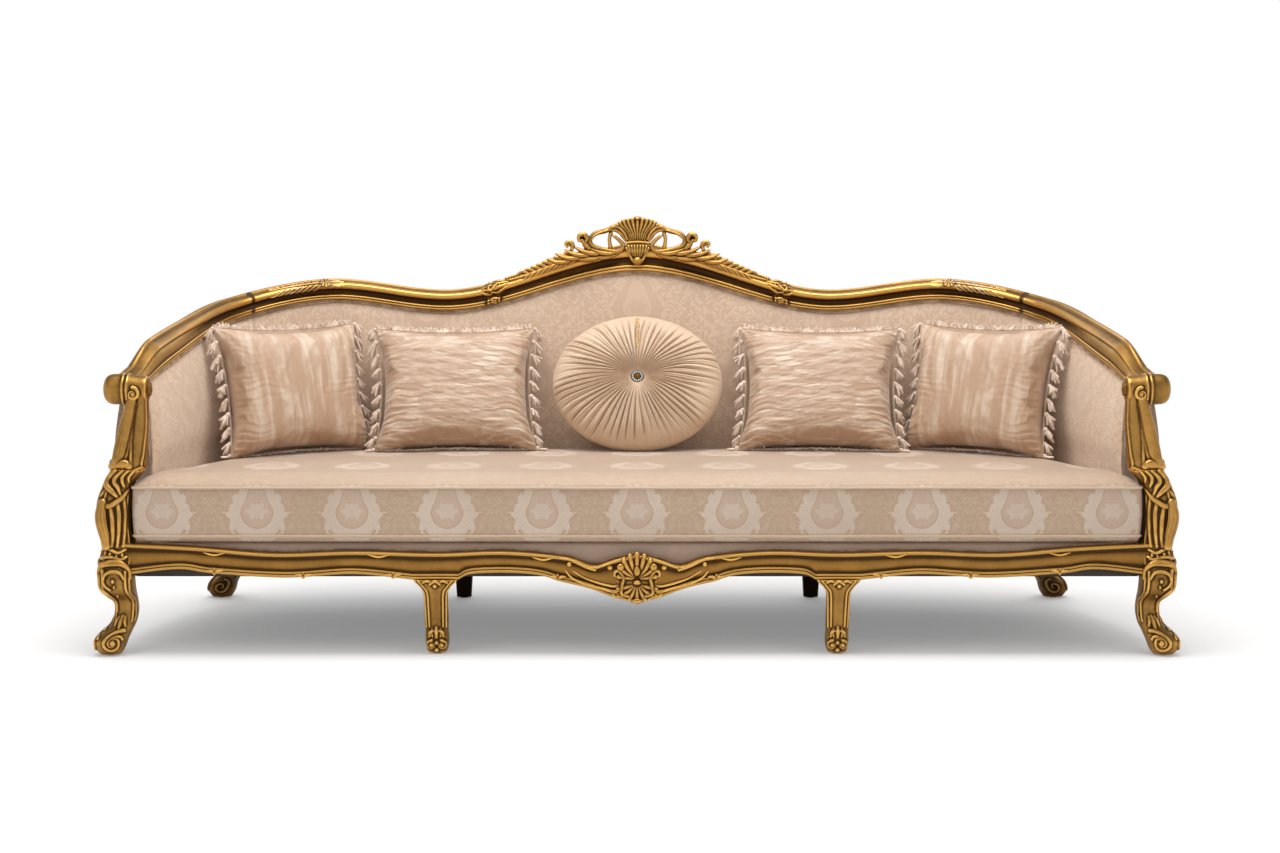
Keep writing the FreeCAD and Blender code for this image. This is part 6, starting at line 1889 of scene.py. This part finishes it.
def throw_pillow(kind, width, height, lean, turn, x, y, material, seed, sides, folds):
    points, faces = swollen(pillow_blank(width - 10, height - 10, throw_thickness))
    points = gathered(points, width, height, seed, sides, folds)
    uv = np.column_stack([points[:, 0], points[:, 2]]) / 1000
    low = leaned(points, lean, -turn, x, y, 0.0)[:, 2].min()
    lift = pillow_rest - low - 5.0

    def place_at(local):
        return leaned(local, lean, -turn, x, y, lift)
    placed = place_at(points)
    placed[:, 2] = np.maximum(placed[:, 2], pillow_rest)
    cord, tufts = pillow_trim(width - 12, height - 12, place_at, seed)
    for name in ("right", "left"):
        body = "pillow_%s_%s" % (kind, name)
        pieces = [(placed, faces), cord, tufts]
        if name == "left":
            pieces = [mirrored(piece) for piece in pieces]
        # The cavity attribute gives the cover's creases painted shade in the satin.
        cover = make(body + "_cover", pieces[0], material, body=body, replaces=[body],
                     uv=uv, cavity=2)
        make(body + "_cord", pieces[1], cord_yarn, body=body)
        make(body + "_tufts", pieces[2], trim_yarn, body=body)


throw_pillow("inner", 452.0, 386.0, 27.0, 5.0, 506.0, 224.0, moire_satin, 41, 1.35, (1.9, 7.0, 24.0))
throw_pillow("outer", 430.0, 372.0, 15.0, 36.0, 940.0, 130.0, stripe_satin, 57, 0.9, (2.2, 19.0, 6.0))


# The round pleated pillow

def round_front(a, r):
    """How far the round pillow's face stands forward, pleats included, at an angle and a radius share."""
    dome = 75.0 * np.maximum(1 - r ** 2.5, 0) ** 0.5
    dimple = 31.0 * np.exp(-(r / 0.17) ** 2)
    wander = wave_noise(np.cos(a) * 2, np.sin(a) * 2, r * 1.2, seed=71, octaves=2, base=0.5)
    fold = np.abs(np.sin(29 * a + 1.7 * wander + 0.9 * np.sin(5 * a) * r)) ** 0.55 - 0.5
    fine = np.abs(np.sin(53 * a + 2.6 * wander)) ** 0.6 - 0.5
    patch = wave_noise(np.cos(a) * 1.6, np.sin(a) * 1.6, r * 1.5, seed=73, octaves=2, base=0.8)
    reach = ease(r, 0.07, 0.16) * (1 - ease(r, 0.62 + 0.3 * patch, 1.12 + 0.12 * patch))
    share = np.clip(r / 0.32, 0.25, 1)
    return dome - dimple + reach * share * (13.0 * fold + 4.6 * fine) + 1.2 * patch * ease(r, 0.2, 0.6)


def round_pillow():
    columns = 900
    a = full_turn(columns)
    rings = []
    uv = []
    front_r = np.sin(np.linspace(0.045, 1, 74) * math.pi / 2)
    depths = [(r, -round_front(a, r)) for r in front_r]
    depths += [(r, 72.0 * max(1 - r ** 2.5, 0) ** 0.5 + 0 * a) for r in front_r[-2::-3]]
    for r, y in depths:
        x = round_half_width * r * np.cos(a)
        rings.append(np.column_stack([x, y, round_half_height * r * np.sin(a)]))
        uv.append(np.column_stack([r * 0.3 + 0 * a, a * 0.22]))
    rings = np.array(rings)
    low = leaned(rings, round_lean, 0.0, 0.0, round_y, 0.0)[..., 2].min()
    lift = pillow_rest - low - 3.0

    def place_at(local):
        return leaned(local, round_lean, 0.0, 0.0, round_y, lift)
    placed = place_at(rings)
    placed[..., 2] = np.maximum(placed[..., 2], pillow_rest)
    # The cavity attribute gives the pleats painted shade in the satin.
    cover = make("round_pillow_cover", swept(placed), round_satin, body="round_pillow",
                 replaces=["round_pillow"], uv=np.array(uv).reshape(-1, 2), cavity=8)

    def on_front(x, z, out):
        r = np.hypot(x / round_half_width, z / round_half_height)
        angle = np.arctan2(z / round_half_height, x / round_half_width)
        return place_at(np.stack([x, -round_front(angle, r) - out, z], axis=-1))
    z = np.linspace(74.0, 184.0, 90)
    strip = []
    for x in (-4.6, 4.6):
        strip.append(bead_row(on_front(x + 0 * z, z, 1.2), (2.0, 1.6, 1.4), [0, -0.9, 0.4], 0.5))
    strip.append(tube(on_front(2.6 * np.sin(z / 3.2), z, 1.0), 1.2, 6))
    make("round_pillow_gold_thread", merged(strip), gold_thread, body="round_pillow")
    middle = -round_front(np.array([0.0]), np.array([0.045]))[0]
    a = full_turn(48)

    def turned(profile):
        rings = []
        for r, y in profile:
            rings.append(np.column_stack([r * np.cos(a), middle - 2.0 + y + 0 * a, r * np.sin(a)]))
        return swept(place_at(np.array(rings)))
    setting = [(12.0, 4.0), (16.4, 3.4), (17.0, 0.5), (16.0, -2.4), (13.0, -3.6), (9.8, -3.0), (9.0, -2.0)]
    make("button_setting", turned(setting), gold, body="round_pillow",
         replaces=["round_pillow_button"])
    beads = []
    for turn in full_turn(14):
        centre = np.array([[12.9 * math.cos(turn), middle - 6.6, 12.9 * math.sin(turn)]])
        beads.append(ball(place_at(centre)[0], (2.9, 2.6, 2.9), 5, 7))
    make("button_crystals", merged(beads), crystal, body="round_pillow")
    dome = [(9.0, -2.0), (8.6, -4.2), (7.0, -6.2), (4.4, -7.4), (1.6, -7.8)]
    make("button_dome", turned(dome), gold, body="round_pillow")


gold_thread = yarn("gold_thread", rgb(220, 184, 112), rgb(168, 126, 62))
crystal = plain("cut_crystal", rgb(228, 234, 238), rgb(150, 160, 168), 900.0, 0.12, 0.35)
round_pillow()


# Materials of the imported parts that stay

def dress_hidden_parts():
    finishes = {
        "seat_webbing": jute, "dust_cover": cambric, "corner_block_screws": steel,
        "foot_glides": glide_black, "handhold_eyes": gold,
    }
    bare = ("arm_stuffing_rails", "arm_uprights", "back_stuffing_rail", "back_uprights", "corner_blocks",
            "rail_dowels")
    painted = ("cross_rails", "inner_front_rail", "rear_seat_rail", "side_seat_rail_left",
               "side_seat_rail_right")
    finishes.update({node: timber for node in bare})
    finishes.update({node: stained for node in painted})
    for node, material in finishes.items():
        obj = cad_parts[node]
        obj.data.materials.clear()
        obj.data.materials.append(material)


dress_hidden_parts()
